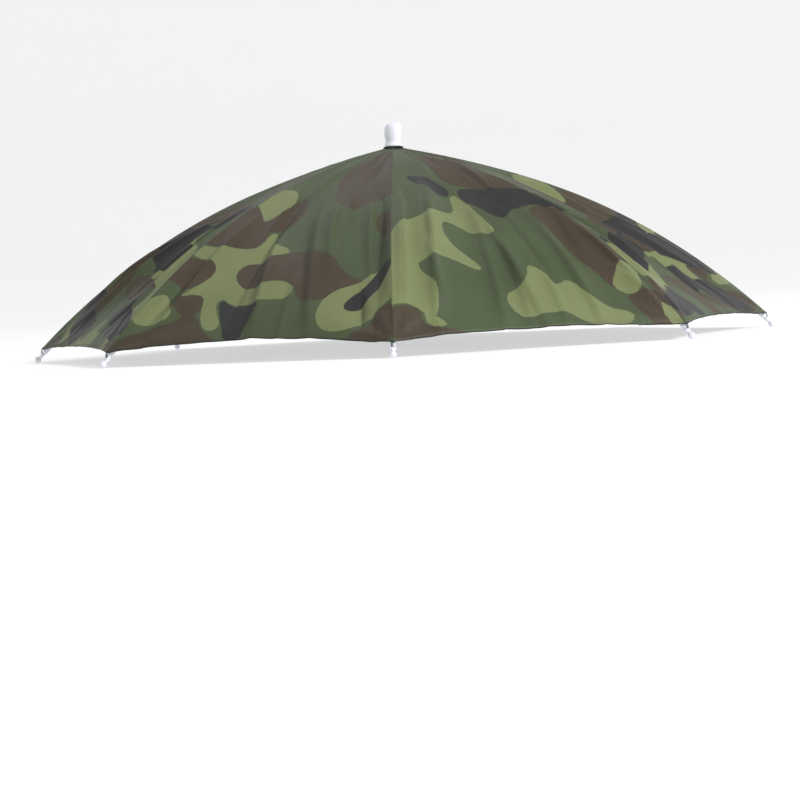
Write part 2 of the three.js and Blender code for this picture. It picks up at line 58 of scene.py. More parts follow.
# %% The seam's curve
PANEL_COUNT = 8
HALF_PANEL = math.pi / PANEL_COUNT
CORNER_RADIUS = 0.345
CROWN_HOLE = 0.007
SEAM_SLOPES = [(0.0, 12.0), (0.325, 19.8), (0.66, 32.9), (1.0, 44.3)]


def unit_seam(share):
    """Outward reach, drop and slope of a seam of length 1, at shares of its length."""
    share = np.asarray(share, float)
    out, down, slope = np.zeros_like(share), np.zeros_like(share), np.zeros_like(share)
    for (start, first), (end, last) in zip(SEAM_SLOPES, SEAM_SLOPES[1:]):
        lean, turn = math.radians(first), math.radians(last - first)
        per_turn = (end - start) / turn
        room = math.inf if end == 1.0 else end - start
        turned = lean + np.clip(share - start, 0.0, room) / per_turn
        out = out + per_turn * (np.sin(turned) - math.sin(lean))
        down = down + per_turn * (math.cos(lean) - np.cos(turned))
        slope = np.where(share >= start, turned, slope)
    return out, down, slope


SEAM_LENGTH = (CORNER_RADIUS - CROWN_HOLE) / float(unit_seam(1.0)[0])
CROWN_SLOPE, CORNER_SLOPE = [float(unit_seam(share)[2]) for share in (0.0, 1.0)]
print("seam length in mm:", round(SEAM_LENGTH * 1000, 1))

# %% Heights that follow from the tip caps standing on the floor
SLEEVE_RADIUS, SLEEVE_LENGTH, CORNER_ON_CAP = 0.0022, 0.0095, 0.0084
EYE_LENGTH, NECK_LENGTH, NECK_RADIUS, BALL_RADIUS = 0.0054, 0.0006, 0.0017, 0.003
UNDER_CLOTH = 0.00231
BALL_REACH = SLEEVE_LENGTH + EYE_LENGTH + NECK_LENGTH + BALL_RADIUS - CORNER_ON_CAP
CORNER_HEIGHT = (BALL_RADIUS + math.cos(CORNER_SLOPE) * (UNDER_CLOTH + SLEEVE_RADIUS)
                 + math.sin(CORNER_SLOPE) * BALL_REACH)
CROWN_HEIGHT = CORNER_HEIGHT + SEAM_LENGTH * float(unit_seam(1.0)[1])


def seam_point(share, depth=0.0):
    """Radius, height and slope of a seam, moved square to it below the cloth's outer face."""
    out, down, slope = unit_seam(share)
    radius = CROWN_HOLE + SEAM_LENGTH * out - depth * np.sin(slope)
    height = CROWN_HEIGHT - SEAM_LENGTH * down - depth * np.cos(slope)
    return radius, height, slope


def rib_azimuth(number):
    """Direction of rib 1, 2, ... 8. The first points to the wearer's front."""
    return -math.pi / 2 + 2 * HALF_PANEL * (number - 1)


print("corner and crown heights in mm:", round(CORNER_HEIGHT * 1000, 2), round(CROWN_HEIGHT * 1000, 2))

# %% [markdown]
# Materials are small node graphs. Written out by hand they take many lines, so a thin class wraps
# a socket: adding or multiplying two of them adds the Math node that does so. The same class
# serves the Geometry Nodes trees further down, because both kinds of tree share the Math node.

# %% A socket that can be reckoned with
class Field:
    def __init__(self, tree, socket):
        self.tree, self.socket = tree, socket

    def maths(self, operation, *values):
        return self.tree.node("ShaderNodeMath", {"operation": operation}, dict(enumerate(values)))

    def __add__(self, other):
        return self.maths("ADD", self, other)

    def __radd__(self, other):
        return self.maths("ADD", other, self)

    def __sub__(self, other):
        return self.maths("SUBTRACT", self, other)

    def __rsub__(self, other):
        return self.maths("SUBTRACT", other, self)

    def __mul__(self, other):
        return self.maths("MULTIPLY", self, other)

    def __truediv__(self, other):
        return self.maths("DIVIDE", self, other)

    def sine(self):
        return self.maths("SINE", self)

    def absolute(self):
        return self.maths("ABSOLUTE", self)

    def held(self):
        """The value held between 0 and 1."""
        return self.tree.node("ShaderNodeClamp", {}, {0: self})


class Tree:
    """A node tree. node() takes a type, its settings, and the values or links of its sockets."""

    def __init__(self, tree):
        self.tree = tree
        tree.nodes.clear()

    def node(self, kind, settings=None, sockets=None, output=0):
        made = self.tree.nodes.new(kind)
        for name, value in (settings or {}).items():
            setattr(made, name, value)
        for name, value in (sockets or {}).items():
            if isinstance(value, Field):
                self.tree.links.new(value.socket, made.inputs[name])
            else:
                made.inputs[name].default_value = value
        return Field(self, made.outputs[output])

    def mixed(self, share, first, second):
        """One colour or the other, by a share from 0 to 1."""
        pair = {0: share, 6: first, 7: second}
        return self.node("ShaderNodeMix", {"data_type": "RGBA"}, pair, 2)

    def noise(self, place, scale, detail):
        return self.node("ShaderNodeTexNoise", {}, {"Vector": place, "Scale": scale, "Detail": detail})

    def stretched(self, place, scale):
        """A place with each of its three numbers multiplied by one of the scale's."""
        return self.node("ShaderNodeVectorMath", {"operation": "MULTIPLY"}, {0: place, 1: scale})


def linear(code):
    """A colour in the usual six digits of red, green and blue, made linear for a node's socket."""
    parts = [int(code[i:i + 2], 16) / 255 for i in (0, 2, 4)]
    return (*[p / 12.92 if p <= 0.04045 else ((p + 0.055) / 1.055) ** 2.4 for p in parts], 1.0)


def finish_named(name, surface, height=None, bump=0.3, depth=0.0004):
    """A material. The surface is its Principled sockets, or a function of the tree that gives them.
    The height is a function of the tree too, and makes a bump."""
    made = bpy.data.materials.new(name)
    made.use_nodes = True
    tree = Tree(made.node_tree)
    sockets = surface(tree) if callable(surface) else dict(surface)
    if height is not None:
        raised = {"Strength": bump, "Distance": depth, "Height": height(tree)}
        sockets["Normal"] = tree.node("ShaderNodeBump", {}, raised)
    shader = tree.node("ShaderNodeBsdfPrincipled", {}, sockets)
    out = tree.tree.nodes.new("ShaderNodeOutputMaterial")
    tree.tree.links.new(shader.socket, out.inputs["Surface"])
    return made


def grain(scale):
    """A fine even grain, as the height of a bump."""
    return lambda tree: tree.noise(tree.node("ShaderNodeTexCoord", {}, {}, "Object"), scale, 2.0)

# %% [markdown]
# Most pieces are grids of points joined by four-sided faces: cloth, tape, turned plastic, tubes.
# One function makes such a grid into a mesh, closed where it is asked to be. Another gives every
# new piece the three things it needs: a material, a body to ride on and the solids it stands for.

# %% Meshes from grids of points
def linked(name, data):
    """An object with this data, in the scene."""
    made = bpy.data.objects.new(name, data)
    bpy.context.scene.collection.objects.link(made)
    return made


def round_angles(count):
    """Angles at even steps round a whole turn."""
    return np.arange(count) * 2 * math.pi / count


def grid_faces(rows, columns, around=False, over=False):
    """Faces of a grid. Around joins its last column to its first, and over its last row."""
    r, c = np.meshgrid(np.arange(rows - 1 + over), np.arange(columns - 1 + around), indexing="ij")
    below, beside = (r + 1) % rows, (c + 1) % columns
    quads = [r * columns + c, below * columns + c, below * columns + beside, r * columns + beside]
    return np.stack(quads).reshape(4, -1).T.tolist()


def tube(rings):
    """Points and faces of rings joined in a row, with each end closed by one face."""
    rings = np.asarray(rings, float)
    rows, columns = rings.shape[:2]
    first_ring = list(range(columns))
    last_ring = [(rows - 1) * columns + i for i in first_ring]
    return rings.reshape(-1, 3), grid_faces(rows, columns, True) + [first_ring, last_ring[::-1]]


def torus(rings):
    """Points and faces of rings joined in a row, and the last of them to the first."""
    rings = np.asarray(rings, float)
    return rings.reshape(-1, 3), grid_faces(*rings.shape[:2], True, True)


class Shape:
    """Points and faces that are gathered from several closed bodies."""

    def __init__(self):
        self.points, self.faces = np.zeros((0, 3)), []

    def add(self, points, faces, place=None):
        points = np.asarray(points, float)
        if place is not None:
            turn = np.array(place)
            points = points @ turn[:3, :3].T + turn[:3, 3]
        shift = len(self.points)
        self.points = np.vstack([self.points, points])
        self.faces += [[shift + i for i in face] for face in faces]
        return self

    def object(self, name):
        mesh = bpy.data.meshes.new(name)
        mesh.from_pydata(self.points.tolist(), [], self.faces)
        mesh.validate()
        return linked(name, mesh)

    def closed(self, name):
        """The object with its faces turned outward, whatever order its rings were given in."""
        return outward(self.object(name))

# %% What every finished piece needs
def outward(made):
    work = bmesh.new()
    work.from_mesh(made.data)
    bmesh.ops.recalc_face_normals(work, faces=work.faces)
    work.to_mesh(made.data)
    work.free()
    return made


def smooth(made, angle):
    """Smooth shading, apart from edges that turn by more than an angle in degrees."""
    made.data.shade_smooth()
    made.data.set_sharp_from_angle(angle=math.radians(angle))
    return made


def settle(made, slot, *nodes, material=None):
    """The piece rides on the hat, takes a finish, and stands for the solids that are named."""
    if material is not None:
        made.data.materials.clear()
        made.data.materials.append(material)
    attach(made, "root")
    if nodes:
        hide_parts(*nodes)
    print(f"{made.name}: {sum(len(face.vertices) - 2 for face in made.data.polygons)} triangles")
    return made


def each(stem):
    """The names of the eight solids of one kind."""
    return [f"{stem}_{number}" for number in range(1, PANEL_COUNT + 1)]

# %% Turned bodies and round tubes
ON_AXIS = 0.00001
OFF_LINE = (0.0, 0.31, 0.95)


def turned(profile, sides, lean=None):
    """Rings of a body turned about Z from (radius, height) pairs."""
    angles = round_angles(sides)
    rings = []
    for radius, height in profile:
        ring = np.stack([radius * np.cos(angles), radius * np.sin(angles), np.full(sides, height)], 1)
        rings.append(ring if lean is None else lean(ring))
    return rings


def along_line(points, radius, sides, closed=False):
    """Rings of a round tube that follows points."""
    points = np.asarray(points, float)
    ahead = np.roll(points, -1, 0) - np.roll(points, 1, 0)
    if not closed:
        ahead[0], ahead[-1] = points[1] - points[0], points[-1] - points[-2]
    ahead /= np.linalg.norm(ahead, axis=1)[:, None]
    side = np.cross(ahead[0], OFF_LINE)
    angles = round_angles(sides)
    rings = []
    for place, direction in zip(points, ahead):
        side = side - direction * (side @ direction)
        side = side / np.linalg.norm(side)
        other = np.cross(direction, side)
        rings.append(place + radius * (np.outer(np.cos(angles), side) + np.outer(np.sin(angles), other)))
    return rings

# %% [markdown]
# A rib, a stretcher, a tip cap and a knot of thread come eight times, once for each seam. Each is
# made once, pointing along +X, and a Geometry Nodes tree sets eight copies round the axis. Real
# copies leave the tree, because an instance would be lost when the part is exported.

# %% Copies round the axis
ROUND = {"Copies": "Int", "First Angle": "Float", "Finish": "Material"}


def node_group(name, inputs):
    """A Geometry Nodes tree that takes a geometry and these inputs, and its fields by name."""
    group = bpy.data.node_groups.new(name, "GeometryNodeTree")
    for label, kind in {"Geometry": "Geometry", **inputs}.items():
        group.interface.new_socket(label, in_out="INPUT", socket_type="NodeSocket" + kind)
    group.interface.new_socket("Geometry", in_out="OUTPUT", socket_type="NodeSocketGeometry")
    tree = Tree(group)
    start = group.nodes.new("NodeGroupInput")
    return tree, {socket.name: Field(tree, socket) for socket in start.outputs if socket.name}


def close_group(tree, made, material):
    """Ends a tree in Realize Instances and Set Material."""
    real = tree.node("GeometryNodeRealizeInstances", {}, {0: made})
    painted = tree.node("GeometryNodeSetMaterial", {}, {"Geometry": real, "Material": material})
    end = tree.tree.nodes.new("NodeGroupOutput")
    tree.tree.links.new(painted.socket, end.inputs[0])
    return tree.tree


def run_tree(made, group, values):
    """Gives the object the tree with these inputs, and puts a plain mesh of the result in its place."""
    modifier = made.modifiers.new(group.name, "NODES")
    modifier.node_group = group
    for item in group.interface.items_tree:
        if item.item_type == "SOCKET" and item.in_out == "INPUT" and item.name in values:
            modifier[item.identifier] = values[item.name]
    seen = bpy.context.evaluated_depsgraph_get()
    name = made.name
    mesh = bpy.data.meshes.new_from_object(made.evaluated_get(seen))
    bpy.data.objects.remove(made)
    mesh.name = name
    return linked(name, mesh)


def copies_group():
    tree, given = node_group("copies round the axis", ROUND)
    places = tree.node("GeometryNodeMeshLine", {}, {"Count": given["Copies"], "Offset": (0, 0, 0)})
    index = tree.node("GeometryNodeInputIndex")
    angle = given["First Angle"] + index * (2 * math.pi) / given["Copies"]
    turn = tree.node("ShaderNodeCombineXYZ", {}, {"Z": angle})
    sockets = {"Points": places, "Instance": given["Geometry"], "Rotation": turn}
    set_round = tree.node("GeometryNodeInstanceOnPoints", {}, sockets)
    return close_group(tree, set_round, given["Finish"])


COPIES = copies_group()


def round_values(material):
    """Eight copies, the first pointing to the front."""
    return {"Copies": PANEL_COUNT, "First Angle": rib_azimuth(1), "Finish": material}


def eight(made, material):
    return run_tree(made, COPIES, round_values(material))

# %% [markdown]
# Sewing thread is one small bead of thread after another. A second tree walks along a path, sets a
# flattened ball at even steps and turns it to follow the path. Its inputs are the length of a
# stitch, the step from one to the next and the thickness of the thread.

# %% Stitches along a path
def stitch_group():
    inputs = {"Stitch": "Float", "Step": "Float", "Thread": "Float", "Finish": "Material"}
    tree, given = node_group("stitches along a path", inputs)
    curve = tree.node("GeometryNodeMeshToCurve", {}, {"Mesh": given["Geometry"]})
    settings = {"mode": "LENGTH"}
    spaced = tree.node("GeometryNodeResampleCurve", settings, {"Curve": curve, "Length": given["Step"]})
    heading = tree.node("GeometryNodeInputTangent")
    turn = tree.node("FunctionNodeAlignRotationToVector", {"axis": "X"}, {"Vector": heading})
    ball = tree.node("GeometryNodeMeshUVSphere", {}, {"Segments": 6, "Rings": 4, "Radius": 1.0})
    sizes = {0: given["Stitch"] / 2, 1: given["Thread"], 2: given["Thread"]}
    size = tree.node("ShaderNodeCombineXYZ", {}, sizes)
    sockets = {"Points": spaced, "Instance": ball, "Rotation": turn, "Scale": size}
    beads = tree.node("GeometryNodeInstanceOnPoints", {}, sockets)
    return close_group(tree, beads, given["Finish"])


STITCHES = stitch_group()


def sewn(name, paths, material, stitch, step, thread):
    """Stitches along lists of points. A path that closes gives its first point again at its end."""
    mesh = bpy.data.meshes.new(name)
    points, edges = [], []
    for path in paths:
        first = len(points)
        points += [tuple(p) for p in path]
        edges += [(first + i, first + i + 1) for i in range(len(path) - 1)]
    mesh.from_pydata(points, edges, [])
    values = {"Stitch": stitch, "Step": step, "Thread": thread, "Finish": material}
    return smooth(run_tree(linked(name, mesh), STITCHES, values), 80)

# %% [markdown]
# The canopy's eight panels are cut as long triangles, printed, and sewn together along their
# sides. On the hat each one sags a little between its ribs, its hem rises in the middle, and soft
# folds run down from the seams. Tables say how each hangs and where its folds and its creases are.
# The panels that the photograph doesn't show get random creases, the same ones in every run.

# %% How the panels hang
# How far each panel's hem rises and its middle sags, as shares of the seam.
PANELS = {
    "front_right": (0.022, 0.014), "right_front": (0.026, 0.022), "right_back": (0.03, 0.02),
    "back_right": (0.026, 0.018), "back_left": (0.018, 0.02), "left_back": (0.03, 0.022),
    "left_front": (0.024, 0.02), "front_left": (0.032, 0.018),
}
PANEL_NAMES = list(PANELS)

# Folds as shares along and across the panel, and their width and height as shares of the seam.
FOLDS = {
    "front_left": [((0.36, 0.9), (0.08, 0.66), 0.05, 0.011), ((0.46, 0.94), (0.4, 0.84), 0.045, -0.009),
                   ((0.66, 0.97), (0.04, 0.02), 0.05, 0.007), ((0.3, 0.92), (-0.3, -0.7), 0.055, -0.006)],
    "front_right": [((0.4, 0.96), (-0.55, -0.56), 0.05, 0.009), ((0.3, 0.96), (-0.12, -0.04), 0.045, -0.009),
                    ((0.5, 0.96), (0.3, 0.22), 0.05, 0.008), ((0.4, 0.95), (0.5, 0.8), 0.05, -0.006)],
    "right_front": [((0.3, 0.96), (-0.3, -0.8), 0.055, 0.008), ((0.45, 0.96), (0.5, 0.82), 0.05, -0.008)],
    "right_back": [((0.4, 0.96), (0.2, 0.8), 0.055, -0.009)],
    "back_right": [((0.35, 0.96), (-0.3, -0.8), 0.055, -0.008)],
    "back_left": [((0.35, 0.96), (0.24, 0.76), 0.055, -0.009), ((0.5, 0.94), (-0.1, 0.2), 0.055, 0.008)],
    "left_back": [((0.4, 0.97), (-0.3, -0.82), 0.05, -0.012)],
    "left_front": [((0.35, 0.96), (0.3, 0.82), 0.055, 0.009)],
}

# Creases: lines in millimetres across and along the panel, then the width, the height and the
# side that falls steeply, 1 for the side of greater X and -1 for the other.
CREASES = {
    "front_left": [((-24, 225), (-1, 374), 9, 4.9, -1), ((3, 190), (52, 372), 12, 5.5, -1),
                   ((23, 165), (65, 290), 9, 4.9, 1), ((49, 176), (87, 300), 9, 4.9, 1),
                   ((62, 185), (108, 352), 22, -6.5, 1), ((17, 175), (46, 285), 8, 4.2, 1),
                   ((-36, 140), (-36, 250), 8, 3.5, 1), ((-26, 160), (-30, 350), 8, -3.5, 1),
                   ((84, 320), (98, 368), 7, -4.9, 1), ((-60, 200), (-96, 365), 11, 4.6, -1),
                   ((-80, 270), (-110, 362), 8, -3.8, -1), ((18, 290), (24, 374), 6, 2.8, -1),
                   ((16, 50), (30, 140), 7, -3.1, 1), ((-12, 70), (-24, 160), 7, 2.8, -1)],
    "front_right": [((-16, 115), (-89, 366), 10, 5.9, -1), ((4, 185), (-30, 374), 9, 5.5, -1),
                    ((4, 226), (6, 374), 9, 5.2, -1), ((49, 190), (58, 374), 10, 5.9, -1),
                    ((7, 260), (-5, 374), 6, 3.1, -1), ((78, 210), (110, 350), 9, 4.6, -1),
                    ((-54, 160), (-108, 350), 11, 5.2, 1), ((24, 58), (38, 185), 8, 3.8, -1),
                    ((71, 196), (70, 300), 8, -3.8, 1), ((-62, 250), (-74, 350), 9, 3.5, 1),
                    ((28, 300), (26, 374), 6, 2.8, -1), ((90, 300), (118, 366), 7, 3.5, 1),
                    ((0, 60), (-14, 130), 7, 2.8, -1), ((26, 210), (34, 330), 7, -3.1, 1)],
}

# %% [markdown]
# A fold is a soft swell along a line. A crease is sharper: its steep side is what catches the light
# in the photograph. Finer still are the fan of creases at each corner, the puckers along the sewing
# and a slight wave in the hem. Their lengths below are in millimetres.

# %% Folds, creases and puckers
CREASE_COUNT, CREASE_POWER, GOLDEN = 14, 1.3, 0.618
STEEP_REACH, LEAST_STEEP, GENTLE_REACH = 0.38, 3.2, 1.25
SEAM_HOLD = 7
FAN_HEIGHT, FAN_BEATS, FAN_REACH, FAN_CLEAR = 1.5, 11, 50, 30
PUCKER_HEIGHT, PUCKER_LENGTH, PUCKER_REACH, PUCKER_CLEAR = 0.45, 14, 5.5, 1.5
HEM_WAVE, HEM_REACH = 0.5, 14
CROWN_GATHER, CROWN_REACH = 0.35, 45


def half_width(along):
    """Millimetres from the middle of a panel to its seam."""
    return math.sin(HALF_PANEL) * seam_point(along)[0] * 1000


def across_and_along(along, across):
    """Millimetres across from the middle of a panel and along from the crown."""
    radius = seam_point(along)[0]
    return across * math.sin(HALF_PANEL) * radius * 1000, along * SEAM_LENGTH * 1000 + 0 * across


def nearest(x, y, start, end):
    """How far points lie from a straight line, and how far along it they are, from 0 to 1."""
    run_x, run_y = end[0] - start[0], end[1] - start[1]
    t = np.clip(((x - start[0]) * run_x + (y - start[1]) * run_y) / (run_x ** 2 + run_y ** 2), 0, 1)
    return np.hypot(x - start[0] - t * run_x, y - start[1] - t * run_y), t


def crease_height(x, y, start, end, width, rise, steep):
    """A crease that falls steeply on one side and gently on the other, and fades at its ends."""
    away, t = nearest(x, y, start, end)
    run_x, run_y = end[0] - start[0], end[1] - start[1]
    right = np.sign((x - start[0]) * run_y - (y - start[1]) * run_x)
    reach = np.where(right == steep, max(STEEP_REACH * width, LEAST_STEEP), GENTLE_REACH * width)
    faded = np.sin(math.pi * (0.06 + 0.88 * t)) ** 0.8
    return rise * np.exp(-(away / reach) ** CREASE_POWER) * faded


def folds_of(panel, along, across):
    """Height of the soft folds over the panel, in metres."""
    x, y = across_and_along(along, across)
    height = 0 * x
    for (a0, a1), (c0, c1), width, rise in FOLDS[panel]:
        start, end = [[float(v) for v in across_and_along(a, c)] for a, c in ((a0, c0), (a1, c1))]
        away, t = nearest(x, y, start, end)
        swell = np.exp(-(away / (width * SEAM_LENGTH * 1000)) ** 2)
        height = height + rise * SEAM_LENGTH * swell * np.sin(math.pi * (0.1 + 0.8 * t))
    return height


def creases_of(panel):
    """The panel's creases from the table, and drawn ones until there are enough."""
    dice = np.random.default_rng(40 + PANEL_NAMES.index(panel))
    rows = list(CREASES.get(panel, []))
    while len(rows) < CREASE_COUNT:
        top, foot = dice.uniform(110, 230), dice.uniform(310, 372)
        # steps of the golden ratio spread the creases evenly across the panel, however many come
        lean = (len(rows) * GOLDEN % 1.0) * 1.7 - 0.85
        foot_lean = lean + dice.uniform(-0.12, 0.12)
        widths = [half_width(v / SEAM_LENGTH / 1000) for v in (top, foot)]
        rows.append(((lean * widths[0], top), (foot_lean * widths[1], foot), dice.uniform(7, 11),
                     (-1) ** len(rows) * dice.uniform(2.8, 4.8), dice.choice([-1, 1])))
    return rows


def corner_fan(x, y, side, number):
    """The cloth is drawn tight towards each corner, and gathers in a fan there."""
    corner_x, corner_y = side * math.sin(HALF_PANEL) * CORNER_RADIUS * 1000, SEAM_LENGTH * 1000
    reach = np.hypot(x - corner_x, y - corner_y)
    angle = np.arctan2(side * (corner_x - x), corner_y - y + 1e-6)
    beat = np.sin(angle * FAN_BEATS + side + number)
    return beat * np.exp(-reach / FAN_REACH) * np.clip(reach / FAN_CLEAR, 0, 1)


def wrinkles_of(panel, along, across):
    """Height of what is finer than the solids show: creases, corner fans, puckers and the hem's wave."""
    x, y = across_and_along(along, across)
    number, half, length = PANEL_NAMES.index(panel), half_width(along), SEAM_LENGTH * 1000
    held = np.clip((half - abs(x)) / SEAM_HOLD, 0, 1)
    height = 0 * x
    for row in creases_of(panel):
        height = height + held * crease_height(x, y, *row)
    for side in (-1, 1):
        height = height + FAN_HEIGHT * corner_fan(x, y, side, number)
        # puckers of uneven length along the sewing
        far = half - side * x
        beat = np.sin(2 * math.pi * (y / PUCKER_LENGTH + 0.35 * np.sin(y / 23 + number * side)))
        gathered = np.exp(-far / PUCKER_REACH)
        height = height + PUCKER_HEIGHT * beat * gathered * np.clip(far / PUCKER_CLEAR, 0, 1)
    hem = np.exp(-(length - y) / HEM_REACH)
    height = height + HEM_WAVE * hem * np.sin(2 * math.pi * x / 31 + number) * np.sin(x / 17 + 2 * number)
    crown = np.exp(-((y - CROWN_REACH) / CROWN_REACH) ** 2)
    return (height + CROWN_GATHER * np.sin(across * 11 + number) * crown) / 1000

# %% Points of the cloth
SAG_POWER, SAG_SPAN = 1.4, 0.86


def hem_share(panel, across):
    """Where the hem crosses the panel, as a share of the seam's length."""
    return 1 - PANELS[panel][0] * (1 - across ** 2)


def panel_point(panel, row, across, depth=0.0):
    """A point of the cloth in the frame of its panel, whose X axis is the panel's middle."""
    sag = PANELS[panel][1]
    row, across = np.broadcast_arrays(np.asarray(row, float), np.asarray(across, float))
    along = row * hem_share(panel, across)
    radius, height, slope = seam_point(along)
    slope = np.arctan(np.tan(slope) / math.cos(HALF_PANEL))
    slack = (1 - across ** 2) * np.sin(math.pi * along ** SAG_POWER * SAG_SPAN)
    # both kinds of relief fade out at the seams, the folds sooner than the wrinkles
    relief = (1 - across ** 8) ** 2 * folds_of(panel, along, across) - sag * SEAM_LENGTH * slack
    relief = relief + (1 - across ** 60) * wrinkles_of(panel, along, across)
    out = radius * math.cos(HALF_PANEL) - depth * np.sin(slope)
    side = across * out * math.tan(HALF_PANEL)
    return np.stack([out + relief * np.sin(slope), side, height + (relief - depth) * np.cos(slope)], -1)


def panel_turn(panel):
    angle = rib_azimuth(PANEL_NAMES.index(panel) + 1) + HALF_PANEL
    return np.array(Matrix.Rotation(angle, 3, "Z"))

# %% [markdown]
# Woodland camouflage is a common print: large shapes in brown, light green and black on a mid
# green ground. The chart below draws them for each panel as a pattern cutter would, in millimetres
# across from the panel's middle and along from the crown. A shape is a closed outline of points,
# or a brush stroke of round dabs where each has a radius too. What is kept in the mesh is how far
# each point lies from each colour's edge, and the material makes that a crisp edge.

# %% The chart of the print
PRINT = {
    "front_left": {
        "brown": [
            "-62,172 -55,190 -48,206 -42,190 -33,170 -30,150 -20,155 -14,180 -20,210 -35,212 -36,235 -45,246"
            " -70,248 -92,242 -84,190",
            "-3,30 -8,80 -8,110 0,140 8,165 22,185 35,192 42,178 60,175 68,160 60,140 45,100 25,50 8,8",
            "60,195 76,200 92,242 80,238 66,222", "88,285 105,290 114,308 98,312 90,300",
            "-104,262 -88,262 -76,265 -66,272 -64,285 -72,298 -82,308 -90,306 -95,298 -110,295",
            "-90,318 -80,314 -66,314 -60,325 -60,338 -75,342 -82,335 -88,328",
            "-130,376 -110,362 -88,352 -72,342 -60,345 -56,355 -45,366 -30,375 -28,392 -130,392",
            "106,345 122,338 136,392 82,388 92,368 106,360",
            "-44,272 -30,264 -12,262 5,255 25,260 40,268 52,278 58,292 72,300 82,298 78,308 66,315 58,328"
            " 45,332 28,325 22,312 12,303 0,300 -12,307 -28,305 -42,295 -46,283"],
        "light": [
            "-58,138 -40,137 -34,150 -31,165 -38,185 -48,203 -55,190 -64,172 -68,160",
            "-98,243 -88,243 -70,247 -45,245 -36,238 -33,215 -28,215 -27,238 -12,247 0,254 -12,262 -30,264"
            " -42,270 -45,283 -42,295 -28,305 -14,307 -2,301 10,302 22,312 20,324 5,328 -15,330 -35,325"
            " -47,318 -48,328 -42,342 -36,355 -42,362 -50,360 -58,348 -60,330 -62,318 -72,313 -86,318"
            " -80,308 -72,298 -64,285 -66,272 -76,265 -88,262 -98,255",
            "-112,318 -98,312 -94,325 -84,338 -92,350 -116,355 -124,345",
            "52,338 58,322 70,312 78,303 84,292 96,286 112,290 124,330 112,340 104,345 106,355 95,357"
            " 88,365 76,370 62,368 52,355"],
        "black": ["-46,318 -38,325 -25,330 -2,330 -8,345 -12,360 -10,374 -25,374 -35,355 -42,338",
                  "73,338 77,326 85,308 92,278 106,284 101,302 97,316 91,332 84,341 77,343"],
    },
    "front_right": {
        "brown": [
            "0,50 12,45 30,80 50,130 64,162 40,158 20,152 5,140 -2,115",
            "50,205 60,200 78,203 94,250 112,298 104,302 98,312 90,325 86,340 78,320 70,300 62,270 54,235",
            "-128,346 -102,345 -98,352 -100,366 -92,372 -70,375 -50,388 -134,392",
            "90,345 104,343 122,338 134,388 112,392 100,375 94,360"],
        "light": [
            "-90,240 -75,226 -60,216 -45,210 -25,206 -15,196 -10,180 -7,164 0,160 4,180 2,200 6,215 9,240"
            " 4,246 -8,240 -15,232 -25,224 -35,226 -42,240 -44,255 -38,268 -28,280 -22,292 -26,299 -40,291"
            " -55,285 -70,284 -80,288 -82,300 -77,314 -75,328 -80,345 -85,356 -92,358 -98,350 -103,344"
            " -118,342 -130,348 -112,296",
            "-96,354 -88,360 -78,368 -86,373 -97,368",
            "14,300 22,300 28,312 30,328 36,325 45,318 52,325 55,338 60,350 70,362 85,365 90,373 80,382"
            " 60,380 40,372 30,362 12,362 -5,365 -15,358 -18,342 -10,328 2,325 10,315",
            "96,304 104,300 112,314 110,335 100,345 90,342 84,330 90,318",
            "114,356 124,360 132,388 118,386"],
        "black": [
            "2,148 20,152 40,158 64,162 80,206 70,206 60,196 48,200 38,198 32,210 24,219 16,214 10,198 4,180",
            "-34,118 -22,110 -8,130 -3,150 -8,166 -20,165 -29,142"],
    },
}

# The other panels are cut from other places of the same cloth: which chart, mirrored or not, and
# how far it is shifted and bent. Some strokes of their own keep them from looking alike. On
# right_front and left_front the many black and brown strokes are partly print and partly painted
# shade, which darkens these side panels where they face away from the light.
CUT_FROM = {
    "right_front": ("front_left", -1, 24, 14), "right_back": ("front_right", 1, -22, 16),
    "back_right": ("front_left", 1, -34, 18), "back_left": ("front_right", -1, 18, 15),
    "left_back": ("front_left", -1, -14, 20), "left_front": ("front_right", -1, -30, 14),
}
OWN_STROKES_AND_PAINTED_SHADE = {
    # right_front: black and brown strokes, partly print and partly painted shade on a side panel that faces
    # away from the light
    "right_front": {"black": ["-66,300,14 -40,276,22 -4,266,17", "38,326,13 66,346,20 92,376,14",
                              "-108,362,14 -70,352,18 -50,366,12", "8,196,11 30,212,13",
                              "-30,172,9 -44,196,11", "20,226,12 50,236,21 84,226,10",
                              "62,262,12 92,288,17 100,320,10"],
                    "brown": ["-22,324,12 8,346,19 4,372,12", "66,262,10 84,296,14", "-5,130,14 14,146,12"]},
    "right_back": {"brown": ["-45,120,9 -20,100,12", "-20,330,14 -45,350,16 -75,345,12"],
                   "light": ["30,250,8 48,262,11 60,290,8"]},
    "back_right": {"black": ["40,215,9 62,230,12 70,262,8"], "light": ["-20,60,6 -12,85,9 5,100,8"]},
    "back_left": {"brown": ["30,290,10 55,305,15 70,335,10"], "light": ["-60,330,8 -35,340,12 -12,330,8"]},
    "left_back": {"black": ["-80,300,10 -60,322,14 -64,350,9"], "brown": ["0,100,10 22,120,13"]},
    # left_front: black and brown strokes, partly print and partly painted shade on a side panel that faces
    # away from the light
    "left_front": {"black": ["-96,318,16 -80,345,16 -50,360,18", "20,330,16 60,345,20 110,360,14",
                             "-60,240,14 -10,252,20 40,240,16", "30,180,12 56,170,10"],
                   "brown": ["-30,290,16 15,296,20 60,285,16 95,300,10", "-10,90,10 10,110,14"]},
}
COLOURS = ["brown", "light", "black"]

# %% How far each point lies from the print's edges
FAR_OFF, BLEND = 1e6, 1.6
CORNER_CUTS, CORNER_CUT = 2, 0.25
WOBBLE, PRINT_REACH = 0.9, 40


def numbers(text):
    return [tuple(float(v) for v in point.split(",")) for point in text.split()]


